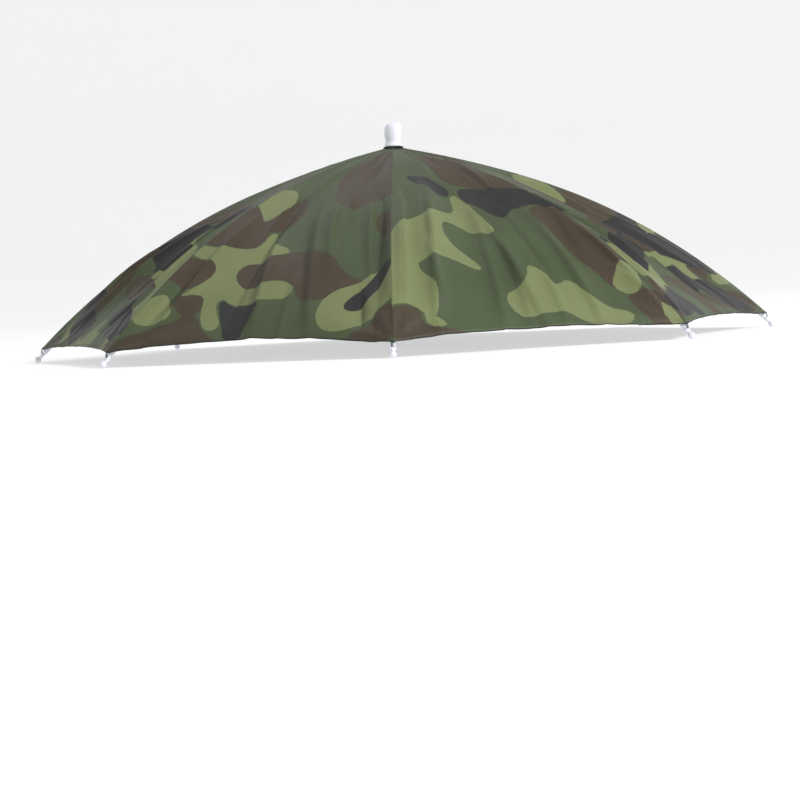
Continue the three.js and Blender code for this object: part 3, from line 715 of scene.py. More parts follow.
def stroke_distance(x, y, dabs):
    """How far points lie outside a brush stroke, negative inside."""
    best = np.full_like(x, FAR_OFF)
    for (x0, y0, r0), (x1, y1, r1) in zip(dabs, dabs[1:]):
        away, t = nearest(x, y, (x0, y0), (x1, y1))
        best = np.minimum(best, away - (r0 + (r1 - r0) * t))
    return best


def outline_distance(x, y, corners):
    """How far points lie outside a closed outline whose corners are rounded off, negative inside."""
    for _ in range(CORNER_CUTS):
        corners = np.asarray(corners, float)
        after = np.roll(corners, -1, 0)
        near, far = [corners * (1 - cut) + after * cut for cut in (CORNER_CUT, 1 - CORNER_CUT)]
        corners = np.stack([near, far], 1).reshape(-1, 2)
    best, inside = np.full_like(x, FAR_OFF), np.zeros(x.shape, bool)
    for (x0, y0), (x1, y1) in zip(corners, np.roll(corners, -1, 0)):
        best = np.minimum(best, nearest(x, y, (x0, y0), (x1, y1))[0])
        crosses = (y0 > y) != (y1 > y)
        inside ^= crosses & (x < x0 + (x1 - x0) * (y - y0) / (y1 - y0 if y1 != y0 else 1.0))
    return np.where(inside, -best, best)


def edge_distance(x, y, shapes):
    """Distance to the edge of all shapes of a colour. Neighbouring shapes flow together."""
    total = np.zeros_like(x)
    for text in shapes:
        points = numbers(text)
        away = (outline_distance if len(points[0]) == 2 else stroke_distance)(x, y, points)
        total = total + np.exp(np.clip(-away / BLEND, -60, 60))
    return -BLEND * np.log(total + 1e-24)


def print_of(panel, x, y):
    """Distance to the edge of each of the three printed colours, in metres."""
    source, mirror, shift, bend = CUT_FROM.get(panel, (panel, 1, 0, 0))
    number = PANEL_NAMES.index(panel)
    u = mirror * x + bend * np.sin(y / 41 + number) + WOBBLE * np.sin(y / 8.5 + number)
    v = y + shift + bend * np.sin(x / 37 + 2 * number) + WOBBLE * np.sin(x / 9.5 + 2 * number)
    found = []
    for colour in COLOURS:
        away = edge_distance(u, v, PRINT[source][colour])
        # the panel's own strokes; on right_front and left_front they are partly painted shade
        own = OWN_STROKES_AND_PAINTED_SHADE.get(panel, {}).get(colour)
        if own:
            own_away = edge_distance(x + 2 * np.sin(y / 11), y + 2 * np.sin(x / 12), own)
            away = np.minimum(away, own_away)
        found.append(np.clip(away, -PRINT_REACH, PRINT_REACH) / 1000)
    return found

# %% [markdown]
# The canopy is one mesh of two skins, the printed one outside and the silver-coated one inside,
# joined at the hem and at the hole in the crown. Neighbouring panels share the points of their
# seam, so the cloth is truly sewn together. The print, the place on the panel and the distance
# from the seam are kept for each face's own corners, so that the pattern breaks at every seam.

# %% The sewn canopy
COLUMNS, ROWS = 120, 50
CLOTH, HEM_WIDTH = 0.00045, 0.0026
CLOSE_TO_SEAM, CLOSE_TO_HEM = 0.3, 0.35
PANEL_MAP, PANEL_MAP_AT = 0.5, [0.5, 0.1]


def drawn_to_end(steps, share):
    """Even steps drawn closer together towards the ends of -1 to 1."""
    return np.sin(steps * math.pi / 2) * share + steps * (1 - share)


across_steps = drawn_to_end(np.linspace(-1, 1, COLUMNS + 1), CLOSE_TO_SEAM)
row_steps = drawn_to_end(np.linspace(0, 1, ROWS), CLOSE_TO_HEM)
row_steps = np.sort(np.append(row_steps, 1 - HEM_WIDTH / SEAM_LENGTH))
rows_grid, across_grid = np.meshgrid(row_steps, across_steps, indexing="ij")


def round_the_hat(row, across, depth):
    """All panels' points at a depth below the cloth's face, in rings round the whole hat."""
    parts = [panel_point(p, row, across, depth) @ panel_turn(p).T for p in PANEL_NAMES]
    return np.concatenate([part[..., :-1, :] for part in parts], axis=-2)


def corner_values():
    """For each panel and point: the print's three distances, the place on it and the seam's distance."""
    values = []
    for panel in PANEL_NAMES:
        along = rows_grid * hem_share(panel, across_grid)
        x, y = across_and_along(along, across_grid)
        to_seam = half_width(along) - abs(x)
        values.append([*print_of(panel, x, y), x / 1000, y / 1000, to_seam / 1000])
    return np.array(values)


def build_canopy():
    outer, inner = [round_the_hat(rows_grid, across_grid, depth) for depth in (0.0, CLOTH)]
    ring = outer.shape[1]
    count = outer.shape[0] * ring
    faces = np.array(grid_faces(ROWS + 1, ring, True))
    # turned over, but cut along the same diagonals, so that the two skins never cross
    inside = faces[:, [0, 3, 2, 1]] + count
    last = ROWS * ring
    step = np.arange(ring)
    after = (step + 1) % ring
    hem = np.stack([last + step, last + step + count, last + after + count, last + after], 1)
    crown = np.stack([after, after + count, step + count, step], 1)
    made = Shape().add(np.vstack([outer.reshape(-1, 3), inner.reshape(-1, 3)]),
                       np.vstack([faces, inside, hem, crown]).tolist()).object("canopy")
    kinds = np.repeat([0, 1, 2, 2], [len(faces), len(inside), ring, ring])
    made.data.polygons.foreach_set("material_index", kinds)
    made.data.polygons.foreach_set("use_smooth", kinds < 2)
    corners = np.array([v for face in made.data.polygons for v in face.vertices]).reshape(-1, 4)
    owner = corners % count
    row, column = owner // ring, owner % ring
    # the last panel ends where the ring begins again
    wraps = column.max(1) - column.min(1) > COLUMNS
    panel = np.where(wraps, PANEL_COUNT - 1, column.min(1) // COLUMNS)[:, None]
    local = np.where((column - panel * COLUMNS) < 0, COLUMNS, column - panel * COLUMNS)
    picked = corner_values()[panel, :, row, local].reshape(-1, 6)
    edges = made.data.attributes.new("print_edges", "FLOAT_VECTOR", "CORNER")
    edges.data.foreach_set("vector", picked[:, :3].astype(np.float32).ravel())
    to_seam = made.data.attributes.new("seam_distance", "FLOAT", "CORNER")
    to_seam.data.foreach_set("value", picked[:, 5].astype(np.float32))
    flat = picked[:, 3:5] / PANEL_MAP + PANEL_MAP_AT
    made.data.uv_layers.new(name="panel").data.foreach_set("uv", flat.astype(np.float32).ravel())
    return made


canopy = build_canopy()
print("canopy:", len(canopy.data.vertices), "points")

# %% [markdown]
# Two finishes meet in this cloth. Outside is printed polyester: satin, with a fine plain weave. The
# edges of the print are cut from the stored distances, with a little noise so that they look
# printed and not drawn. Inside is a thin silver coating, smoother and faintly metallic.

# %% The cloth's finishes
GREEN, BROWN, LIGHT, BLACK = (linear(c) for c in ("47513a", "463e33", "707852", "2f2f2f"))
# SEAM_GROOVE and GROOVE_PAINTED_SHADE give the width and the strength of the painted shade along the seams
RAGGED, EDGE_BLUR, SEAM_GROOVE, GROOVE_PAINTED_SHADE, FADING = 0.0016, 0.0007, 0.0009, 0.3, 0.35
THREADS, THREAD_HEIGHT, CREASE_DEPTH = 5200.0, 0.05, 9.0


def panel_map(tree):
    return tree.node("ShaderNodeUVMap", {"uv_map": "panel"})


def printed(tree):
    place = panel_map(tree)
    ragged = (tree.noise(place, 160.0, 3.0) - 0.5) * RAGGED
    stored = tree.node("ShaderNodeAttribute", {"attribute_name": "print_edges"}, {}, "Vector")
    colour = GREEN
    for part, paint in enumerate((BROWN, LIGHT, BLACK)):
        away = tree.node("ShaderNodeSeparateXYZ", {}, {0: stored}, part)
        colour = tree.mixed((0.5 - (away + ragged) / EDGE_BLUR).held(), colour, paint)
    seam = tree.node("ShaderNodeAttribute", {"attribute_name": "seam_distance"}, {}, "Fac")
    # painted shade: within SEAM_GROOVE of each seam the cloth's colour is darkened, standing in for the shade
    # in the sewn groove
    groove = (1.0 - seam / SEAM_GROOVE).held()
    faded = (tree.noise(place, 9.0, 3.0) - 0.5) * FADING
    value = 1.0 + faded - groove * GROOVE_PAINTED_SHADE
    lit = tree.node("ShaderNodeHueSaturation", {}, {"Value": value, "Color": colour})
    return {"Base Color": lit, "Roughness": 0.5, "Specular IOR Level": 0.17}


def weave(tree):
    """Height of the plain weave with slight slubs, and of faint creases drawn along the panel."""
    place = panel_map(tree)
    warp, weft = [tree.node("ShaderNodeSeparateXYZ", {}, {0: place}, part) for part in (0, 1)]
    threads = (warp * THREADS).sine() * (weft * THREADS).sine()
    slubs = tree.noise(tree.stretched(place, (60.0, 14.0, 1.0)), 3.0, 4.0)
    drawn = tree.noise(tree.stretched(place, (24.0, 2.6, 1.0)), 1.0, 3.0)
    return threads * THREAD_HEIGHT + slubs - (drawn - 0.5).absolute() * CREASE_DEPTH


printed_cloth = finish_named("printed camouflage cloth", printed, weave, 0.35, 0.0006)
coating = {"Base Color": linear("b4b4b7"), "Roughness": 0.36, "Metallic": 0.45, "Specular IOR Level": 0.4}
silver_coat = finish_named("silver coating", coating, weave, 0.3, 0.0006)
# painted shade: the cloth's cut edge at the hem and the crown is coloured near black, for the shade it lies
# in
edge_in_painted_shade = finish_named("hem's turned edge", {"Base Color": linear("2c2f2c"), "Roughness": 0.75})
for finish in (printed_cloth, silver_coat, edge_in_painted_shade):
    canopy.data.materials.append(finish)
settle(canopy, "camouflage_cloth", *["panel_" + name for name in PANEL_NAMES])

# %% [markdown]
# The hem is the cloth's own edge, turned in twice and sewn down. From inside it shows as a narrow
# strip, coloured near black: that is painted shade, for the turned cloth is the camouflage print
# lying in shade. From outside it shows as a row of stitches just above the edge. The strip is a flat
# loop that follows the panels' edges, thicker than the cloth and rounded where the fold is.

# %% The turned hem
HEM_SECTION = [(HEM_WIDTH, 0.0003), (0.0, 0.0003), (-0.0003, 0.0005), (-0.0003, 0.0009), (0.0002, 0.0012),
               (HEM_WIDTH - 0.0003, 0.0012), (HEM_WIDTH, 0.001)]


def round_the_hem(back, depth):
    """Points all round the hat, a distance back from the cloth's edge and a depth below its face."""
    return round_the_hat(1 - back / SEAM_LENGTH, across_steps, depth)


hem_shape = Shape().add(*torus([round_the_hem(back, depth) for back, depth in HEM_SECTION]))
hem = smooth(hem_shape.closed("hem"), 50)
# painted shade: the turned-in camouflage cloth is coloured near black, for the shade it lies in
turned_cloth_in_painted_shade = finish_named("turned-in cloth", {"Base Color": linear("26292a"), "Roughness": 0.8})
settle(hem, "camouflage_cloth", material=turned_cloth_in_painted_shade)

# %% Stitches along the hem
thread = finish_named("dark green thread", {"Base Color": linear("4a5540"), "Roughness": 0.7})
black_thread = finish_named("black thread", {"Base Color": linear("18181a"), "Roughness": 0.7})
STITCHED_FROM_EDGE, THREAD_ABOVE_CLOTH = 0.0021, 0.00008
hem_line = round_the_hem(STITCHED_FROM_EDGE, -THREAD_ABOVE_CLOTH)
hem_stitches = sewn("hem_stitches", [np.vstack([hem_line, hem_line[:1]])], thread,
                    stitch=0.0026, step=0.0036, thread=0.00018)
settle(hem_stitches, "camouflage_cloth")

# %% [markdown]
# Inside, each seam leaves two raw edges of cloth. They are pressed to one side and lie between the
# canopy and its rib, where they show as a narrow strip beside the steel, a little wavy where
# the sewing gathers it. Eight copies of one strip do, because every seam follows the same curve.

# %% Seam allowances
ALLOWANCE_FROM, ALLOWANCE_TO, ALLOWANCE_STEPS, ALLOWANCE_WIDTH = 0.06, 0.985, 110, 0.0036


def seam_strip():
    """Two layers of cloth folded to one side of the seam."""
    shares = np.linspace(ALLOWANCE_FROM, ALLOWANCE_TO, ALLOWANCE_STEPS)
    rings = []
    for r, h, lean, share in zip(*seam_point(shares), shares):
        wave = 0.0003 * math.sin(share * 150) + 0.0002 * math.sin(share * 61)
        edge = ALLOWANCE_WIDTH + wave
        # across the seam, and down below the cloth's face
        section = [(-0.0004, 0.0017), (0.0004, 0.0017), (edge, 0.0037), (edge, 0.0041), (0.0014, 0.0030),
                   (0.0002, 0.0021)]
        rings.append([(r - d * math.sin(lean), s, h - d * math.cos(lean)) for s, d in section])
    return Shape().add(*tube(rings)).closed("seam_allowances")


allowances = smooth(eight(seam_strip(), silver_coat), 60)
settle(allowances, "camouflage_cloth")

# %% [markdown]
# A rib is folded from a strip of steel into a channel, open below, and bent to the seam's curve.
# That is a section that follows a path, so a tree does it: one curve is the path, another the
# section, and a third step sets the eight copies. The rib ends short of the cloth's corner, and a
# round pin goes on from there into its tip cap.

# %% The ribs
RIB_WIDTH, RIB_DEPTH, RIB_WALL, RIB_FOLD = 0.003, 0.0026, 0.0006, 0.0005
PIN_RADIUS, PIN_SHOULDER, PIN_IN_RIB = 0.0011, 0.001, 0.004
HUB_CORE, CLEARANCE = 0.009, 0.0003


def curve_object(name, points, closed=False):
    data = bpy.data.curves.new(name, "CURVE")
    data.dimensions = "3D"
    line = data.splines.new("POLY")
    line.points.add(len(points) - 1)
    for place, point in zip(points, line.points):
        point.co = (*place, 1.0)
    line.use_cyclic_u = closed
    return linked(name, data)


def share_at(radius):
    """The share of the seam's length at which it reaches a radius."""
    shares = np.linspace(0, 1, 4001)
    return float(np.interp(radius, seam_point(shares)[0], shares))


def rib_section():
    """The channel's outline with its folded corners rounded."""
    half, deep, wall, soft = RIB_WIDTH / 2, RIB_DEPTH, RIB_WALL, RIB_FOLD
    return [(-half, soft, 0), (-half + 0.3 * soft, 0.3 * soft, 0), (-half + soft, 0, 0), (half - soft, 0, 0),
            (half - 0.3 * soft, 0.3 * soft, 0), (half, soft, 0), (half, deep, 0), (half - wall, deep, 0),
            (half - wall, wall, 0), (-half + wall, wall, 0), (-half + wall, deep, 0), (-half, deep, 0)]


def sweep_group():
    tree, given = node_group("a section that follows a path", {"Section": "Object", **ROUND})
    upright = tree.node("GeometryNodeSetCurveNormal", {"mode": "Z_UP"}, {"Curve": given["Geometry"]})
    section = tree.node("GeometryNodeObjectInfo", {}, {"Object": given["Section"]}, "Geometry")
    pair = {"Curve": upright, "Profile Curve": section, "Fill Caps": True}
    swept = tree.node("GeometryNodeCurveToMesh", {}, pair)
    sockets = {"Geometry": swept, **{name: given[name] for name in ROUND}}
    inner = tree.node("GeometryNodeGroup", {"node_tree": COPIES}, sockets)
    return close_group(tree, inner, given["Finish"])


rib_start = share_at(HUB_CORE + CLEARANCE + (UNDER_CLOTH + RIB_DEPTH) * math.sin(CROWN_SLOPE))
rib_end = 1 - (CORNER_ON_CAP + PIN_SHOULDER) / SEAM_LENGTH
radius, height, _ = seam_point(np.linspace(rib_start, rib_end, 64), UNDER_CLOTH)
section = curve_object("rib section", rib_section(), True)
path = curve_object("ribs", [(r, 0, h) for r, h in zip(radius, height)])
black_steel = finish_named("black enamelled steel", {"Base Color": linear("1b1c1e"), "Roughness": 0.38,
                                                     "Metallic": 0.5, "Coat Weight": 0.25})
ribs = smooth(outward(run_tree(path, sweep_group(), {"Section": section, **round_values(black_steel)})), 50)
bpy.data.objects.remove(section)
settle(ribs, "black_steel", *each("rib"))


def on_rib(share):
    """A frame on the rib's top face: X outward along it, Z towards the cloth."""
    radius, height, slope = seam_point(share, UNDER_CLOTH)
    return Matrix.Translation((float(radius), 0, float(height))) @ Matrix.Rotation(float(slope), 4, "Y")

# %% [markdown]
# A tip cap is moulded in one piece: a sleeve over the rib's pin, a flat eye with a hole for the
# thread, and a ball. The sleeve and ball are turned and the eye is a flat ring set in between.
# The rib's round pin is made here too, because it is what the cap sits on.

# %% Tip caps
EYE_MIDDLE = SLEEVE_LENGTH + EYE_LENGTH / 2
EYE_HOLE, EYE_RADIUS = 0.0008, 0.0028
BORE_RADIUS, BORE_END = PIN_RADIUS + CLEARANCE, SLEEVE_LENGTH - 0.001


def cap_profile():
    """Bore, sleeve, neck and ball, as radius and distance along the rib."""
    profile = [(ON_AXIS, BORE_END), (BORE_RADIUS, BORE_END), (BORE_RADIUS, 0.0004),
               (BORE_RADIUS + 0.0003, 0.0), (SLEEVE_RADIUS - 0.0003, 0.0), (SLEEVE_RADIUS, 0.0004),
               (SLEEVE_RADIUS, SLEEVE_LENGTH - 0.0006), (SLEEVE_RADIUS - 0.0002, SLEEVE_LENGTH - 0.0001),
               (NECK_RADIUS, SLEEVE_LENGTH + NECK_LENGTH)]
    centre = SLEEVE_LENGTH + EYE_LENGTH + NECK_LENGTH + BALL_RADIUS
    first = math.asin(NECK_RADIUS / BALL_RADIUS)
    for step in range(11):
        turn = first + (math.pi - first) * step / 10
        radius = max(BALL_RADIUS * math.sin(turn), ON_AXIS)
        profile.append((radius, centre - BALL_RADIUS * math.cos(turn)))
    return profile


def eye_ring():
    """Rings of a flat ring with a rounded rim, lying in the plane of X and Y."""
    upper = [(0.0, 0.0010), (0.25, 0.0014), (0.8, 0.0014), (1.0, 0.0008)]
    section = upper + [(out, -z) for out, z in upper[::-1]]
    rings = []
    for angle in round_angles(20):
        ring = []
        for out, z in section:
            reach = EYE_HOLE + out * (EYE_RADIUS - EYE_HOLE)
            ring.append((EYE_MIDDLE + reach * math.cos(angle), reach * math.sin(angle), z))
        rings.append(ring)
    return rings


cap_frame = on_rib(1.0) @ Matrix.Translation((-CORNER_ON_CAP, 0, -SLEEVE_RADIUS))
along_x = Matrix.Rotation(math.pi / 2, 4, "Y")
cap = Shape().add(*tube(turned(cap_profile(), 20)), place=cap_frame @ along_x)
cap.add(*torus(eye_ring()), place=cap_frame)
white_plastic = finish_named("white plastic", {
    "Base Color": linear("dfe2ea"), "Roughness": 0.32, "Subsurface Weight": 0.25,
    "Subsurface Radius": (0.004, 0.004, 0.005), "Coat Weight": 0.15})
settle(smooth(eight(cap.closed("tip_caps"), white_plastic), 45), "white_plastic", *each("tip_cap"))

pin_from, pin_to = -PIN_SHOULDER - PIN_IN_RIB, BORE_END - CLEARANCE
pin_profile = [(ON_AXIS, pin_from), (PIN_RADIUS, pin_from), (PIN_RADIUS, pin_to), (ON_AXIS, pin_to)]
pin = Shape().add(*tube(turned(pin_profile, 16)), place=cap_frame @ along_x)
settle(smooth(eight(pin.closed("rib_pins"), black_steel), 45), "black_steel")

# %% [markdown]
# The cloth's corner is tied to the eye with a few turns of thread. Each turn is a loop from the
# hole, round the side of the cap and over the cloth's edge. Three loops side by side, slightly
# uneven, look like the hand sewing of the real one.

# %% Thread ties
TIES = [(-0.0004, -0.0006), (0.0, 0.0), (0.0004, 0.0007)]
TIE_OVER_CLOTH, TIE_RISE, TIE_LIFT, TIE_THREAD = 0.0032, 0.0019, 0.0016, 0.00026


def tie_loops():
    """Three loops from the eye's hole over the cloth. Each has its own place at either end."""
    made = Shape()
    middle = (EYE_MIDDLE + CORNER_ON_CAP - TIE_OVER_CLOTH) / 2
    reach = (EYE_MIDDLE - CORNER_ON_CAP + TIE_OVER_CLOTH) / 2
    for at_eye, at_cloth in TIES:
        path = []
        for turn in round_angles(24):
            swing = math.cos(turn)
            fuller = 1.0 if math.sin(turn) < 0 else 1.12
            z = TIE_RISE * math.sin(turn) * fuller + (1 - swing) * TIE_LIFT
            path.append((middle + reach * swing, at_eye * (1 + swing) + at_cloth * (1 - swing), z))
        made.add(*torus(along_line(path, TIE_THREAD, 6, closed=True)), place=cap_frame)
    return made.closed("thread_ties")


settle(smooth(eight(tie_loops(), black_thread), 80), "camouflage_cloth")

# %% [markdown]
# A stretcher is a round wire from the ring under the hub to a small pressed fork that straddles the
# rib. A rivet goes through the fork's cheeks and the rib. The wire is a tube, the fork three plates
# with rounded ends, and the rivet a turned pin with two domed heads.

# %% Stretchers
JOINT_ALONG, FORK_CHEEK, FORK_HALF, FORK_TAIL, FORK_FLOOR = 0.125, 0.001, 0.0032, 0.009, 0.0024
STRETCHER_RADIUS, RUNNER_CORE = 0.0011, 0.0085
RIVET_RADIUS, RIVET_HEAD, RIVET_DOME, RIVET_DEPTH = 0.0006, 0.0013, 0.0006, 0.0016
joint_share = JOINT_ALONG / SEAM_LENGTH
joint_frame = on_rib(joint_share)
runner_low, runner_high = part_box("runner")


def plate(outline, thickness):
    """A flat plate with chamfered rims, from an outline in X and Z, thick along Y."""
    outline = np.asarray(outline, float)
    middle, rings = outline.mean(0), []
    for y, shrink in ((-0.5, 0.9), (-0.3, 1.0), (0.3, 1.0), (0.5, 0.9)):
        flat = middle + (outline - middle) * shrink
        rings.append(np.stack([flat[:, 0], np.full(len(flat), y * thickness), flat[:, 1]], 1))
    return tube(rings)


def rounded_outline(x0, x1, z0, z1, radius=0.0009, steps=4):
    points = []
    corners = [(x1 - radius, z1 - radius, 0), (x0 + radius, z1 - radius, 90), (x0 + radius, z0 + radius, 180),
               (x1 - radius, z0 + radius, 270)]
    for x, z, first in corners:
        for step in range(steps + 1):
            angle = math.radians(first + 90 * step / steps)
            points.append((x + radius * math.cos(angle), z + radius * math.sin(angle)))
    return points


def rivet_profile(reach):
    """A pin with two domed heads, as radius and distance from its middle."""
    head = [(ON_AXIS, reach), (0.0009, reach - 0.0002), (RIVET_HEAD, reach - RIVET_DOME),
            (RIVET_RADIUS, reach - RIVET_DOME)]
    return [(radius, -along) for radius, along in head] + head[::-1]


def stretcher_shape():
    made = Shape()
    inner = RIB_WIDTH / 2 + CLEARANCE
    outer = inner + FORK_CHEEK
    floor_top = RIB_DEPTH + CLEARANCE
    cheek = rounded_outline(-FORK_HALF, FORK_HALF, -(floor_top + FORK_FLOOR), -RIB_WALL, 0.0016)
    for side in (-1, 1):
        shift = Matrix.Translation((0, side * (inner + outer) / 2, 0))
        made.add(*plate(cheek, FORK_CHEEK), place=joint_frame @ shift)
    floor_plate = rounded_outline(-FORK_TAIL, FORK_HALF, -(floor_top + FORK_FLOOR), -floor_top)
    made.add(*plate(floor_plate, 2 * outer * 0.98), place=joint_frame)
    across = Matrix.Translation((0, 0, -RIVET_DEPTH)) @ Matrix.Rotation(math.pi / 2, 4, "X")
    made.add(*tube(turned(rivet_profile(outer + RIVET_DOME), 16)), place=joint_frame @ across)
    start = Vector((RUNNER_CORE + 2 * CLEARANCE, 0, (runner_low.z + runner_high.z) / 2))
    end = joint_frame @ Vector((0.001 - FORK_TAIL, 0, -(floor_top + FORK_FLOOR / 2)))
    line = [start.lerp(end, t) for t in np.linspace(0, 1, 12)]
    made.add(*tube(along_line(line, STRETCHER_RADIUS, 14)))
    return made.closed("stretchers")


settle(smooth(eight(stretcher_shape(), black_steel), 40), "black_steel", *each("stretcher"))

# %% [markdown]
# The hub and the runner are moulded rings with a slot for each rib or stretcher, and the post is a
# headed pin through both. A slotted ring is a core with eight teeth round it. All its edges are
# softened by drawing in the first and last level a little. The hub's slots end on a web below.

# %% Slotted rings
POST_RADIUS, SOFT = 0.003, 0.0003
POST_BORE = POST_RADIUS + CLEARANCE
TOOTH_STEPS, SLOT_STEPS = 10, 3


def ring_level(outer, core, slot, z, inset):
    """Points of the bore, the core and the teeth at one height."""
    outer, core, half, bore = outer - inset, core - inset, slot / 2 + inset, POST_BORE + inset
    base, tip = math.asin(half / core), math.asin(half / outer)
    core_angles, tip_angles = [], []
    for number in range(1, PANEL_COUNT + 1):
        start, end = rib_azimuth(number), rib_azimuth(number) + 2 * HALF_PANEL
        core_angles += list(np.linspace(start + base, end - base, TOOTH_STEPS + 1))
        core_angles += list(np.linspace(end - base, end + base, SLOT_STEPS + 1)[1:-1])
        tip_angles += list(np.linspace(start + tip, end - tip, TOOTH_STEPS + 1))
    points = []
    for radius, angles in ((bore, core_angles), (core, core_angles), (outer, tip_angles)):
        points += [(radius * math.cos(a), radius * math.sin(a), z) for a in angles]
    return points


def slotted_ring(outer, core, slot, low, high):
    """A closed ring with a slot at each rib's azimuth."""
    soft = [(low, SOFT), (low + SOFT, 0.0), (high - SOFT, 0.0), (high, SOFT)]
    levels = [ring_level(outer, core, slot, z, inset) for z, inset in soft]
    per_core, per_tip = TOOTH_STEPS + SLOT_STEPS, TOOTH_STEPS + 1
    count = PANEL_COUNT * per_core
    size = len(levels[0])

    def core_at(j):
        return count + j % count

    flat, outline = [[j, core_at(j), core_at(j + 1), (j + 1) % count] for j in range(count)], []
    for sector in range(PANEL_COUNT):
        first, tip = sector * per_core, 2 * count + sector * per_tip
        for step in range(TOOTH_STEPS):
            flat.append([core_at(first + step), tip + step, tip + step + 1, core_at(first + step + 1)])
        outline += [tip + step for step in range(per_tip)]
        outline += [core_at(first + TOOTH_STEPS + step) for step in range(SLOT_STEPS + 1)]
    last = (len(levels) - 1) * size
    made = [[v + last for v in face] for face in flat] + [face[::-1] for face in flat]
    for level in range(len(levels) - 1):
        low_at, high_at = level * size, (level + 1) * size
        for a, b in zip(outline, outline[1:] + outline[:1]):
            made.append([low_at + a, low_at + b, high_at + b, high_at + a])
        for j in range(count):
            after = (j + 1) % count
            made.append([low_at + after, low_at + j, high_at + j, high_at + after])
    return np.array(levels).reshape(-1, 3), made


def soft_profile(inner, outer, low, high):
    """The outline of a plain ring with softened edges, as radius and height."""
    outside = [(outer - SOFT, low), (outer, low + SOFT), (outer, high - SOFT), (outer - SOFT, high)]
    return [(inner + SOFT, low), *outside, (inner + SOFT, high), (inner, high - SOFT), (inner, low + SOFT)]

# %% Hub, runner and post
HUB_RADIUS, HUB_WEB, RUNNER_RADIUS = 0.015, 0.0022, RUNNER_CORE + 0.0045
POST_HEAD, POST_HEAD_HEIGHT = 0.007, 0.0025
hub_low, hub_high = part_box("hub")
post_low, post_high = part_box("post")
web_top = hub_low.z + HUB_WEB
hub_slot, runner_slot = RIB_WIDTH + 2 * CLEARANCE, 2 * (STRETCHER_RADIUS + CLEARANCE)
hub = Shape().add(*torus(turned(soft_profile(POST_BORE, HUB_RADIUS, hub_low.z, web_top), 96)))
hub.add(*slotted_ring(HUB_RADIUS, HUB_CORE, hub_slot, web_top - SOFT, hub_high.z))
runner = Shape().add(*slotted_ring(RUNNER_RADIUS, RUNNER_CORE, runner_slot, runner_low.z, runner_high.z))
head_top = post_low.z + POST_HEAD_HEIGHT
post_profile = [(ON_AXIS, post_low.z), (POST_HEAD - 0.0008, post_low.z), (POST_HEAD, post_low.z + 0.0006),
                (POST_HEAD, head_top - SOFT), (POST_HEAD - SOFT, head_top), (POST_RADIUS, head_top),
                (POST_RADIUS, post_high.z - SOFT), (POST_RADIUS - SOFT, post_high.z), (ON_AXIS, post_high.z)]
post = Shape().add(*tube(turned(post_profile, 48)))
middle_parts = [(hub, "hub", "hub_ring"), (runner, "runner", "runner_ring"), (post, "post", "centre_post")]
for shape, solid, name in middle_parts:
    settle(smooth(shape.closed(name), 40), "white_plastic", solid, material=white_plastic)

# %% [markdown]
# On top, a small dark patch of cloth keeps rain from the hole in the crown, and a white plastic
# knob presses it down. The patch is a disc with a cut edge that lies in soft waves. The knob is
# turned: a flared foot, a waist and a rounded top, which leans a little to one side.

# %% Crown patch
PATCH_SECTION = [(POST_BORE, 0.0005), (0.006, 0.0004), (0.0092, 0.0003), (0.0097, 0.0006), (0.0093, 0.0012),
                 (0.0072, 0.0015), (POST_BORE, 0.0015)]


def on_crown(radius, above):
    """Height of a point above the cone of cloth round the crown."""
    return CROWN_HEIGHT + (CROWN_HOLE - radius) * math.tan(CROWN_SLOPE) + above / math.cos(CROWN_SLOPE)


def patch_rings():
    angles = round_angles(72)
    rings = []
    for radius, above in PATCH_SECTION:
        out = (radius - POST_BORE) / 0.006
        wave = out * (0.00022 * np.sin(angles * 8 + 0.6) + 0.00014 * np.sin(angles * 13))
        reach = radius + out * 0.0002 * np.sin(angles * 11)
        z = on_crown(radius, above) + np.abs(wave)
        rings.append(np.stack([reach * np.cos(angles), reach * np.sin(angles), z], 1))
    return rings


patch = Shape().add(*torus(patch_rings())).closed("crown_patch")
patch_look = {"Base Color": linear("30342c"), "Roughness": 0.75}
patch_cloth = finish_named("crown patch cloth", patch_look, grain(900.0))
settle(smooth(patch, 50), "crown_patch", "crown_washer", material=patch_cloth)

# %% Knob
PATCH_UNDER_KNOB = 0.0018
KNOB_HEIGHT, KNOB_CROWN, KNOB_RADIUS = 0.023, 0.009, 0.008
KNOB_LEAN, KNOB_LEANING = 0.0016, 0.012
knob_foot = KNOB_RADIUS + 0.0002
knob_bottom = on_crown(knob_foot, PATCH_UNDER_KNOB)
knob_top = knob_bottom + KNOB_HEIGHT


def leaning(ring):
    """Moves a ring near the knob's top to one side."""
    share = np.clip((ring[:, 2] - (knob_top - KNOB_LEANING)) / KNOB_LEANING, 0, None)
    ring[:, 0] += KNOB_LEAN * share ** 1.4
    return ring


def knob_profile():
    """Blind bore, flared foot, waist and rounded top, as radius and height."""
    bore_top, waist = knob_top - KNOB_CROWN, KNOB_RADIUS - 0.0009
    profile = [(ON_AXIS, bore_top), (POST_BORE, bore_top), (POST_BORE, on_crown(POST_BORE, PATCH_UNDER_KNOB)),
               (knob_foot - 0.0004, knob_bottom), (knob_foot, knob_bottom + 0.0003),
               (knob_foot, knob_bottom + 0.0008), (knob_foot - 0.0003, knob_bottom + 0.0013)]
    for step in range(1, 9):
        t = step / 8
        blend = t * t * (3 - 2 * t)
        height = knob_bottom + KNOB_HEIGHT * (0.14 + 0.42 * t)
        profile.append((waist + (KNOB_RADIUS - waist) * blend * 0.9, height))
    shoulder = knob_top - KNOB_RADIUS * 0.8
    for step in range(13):
        turn = math.pi / 2 * step / 12
        radius = KNOB_RADIUS * max(math.cos(turn), 0.0) ** 0.8
        profile.append((max(radius, ON_AXIS), shoulder + (knob_top - shoulder) * math.sin(turn)))
    return profile


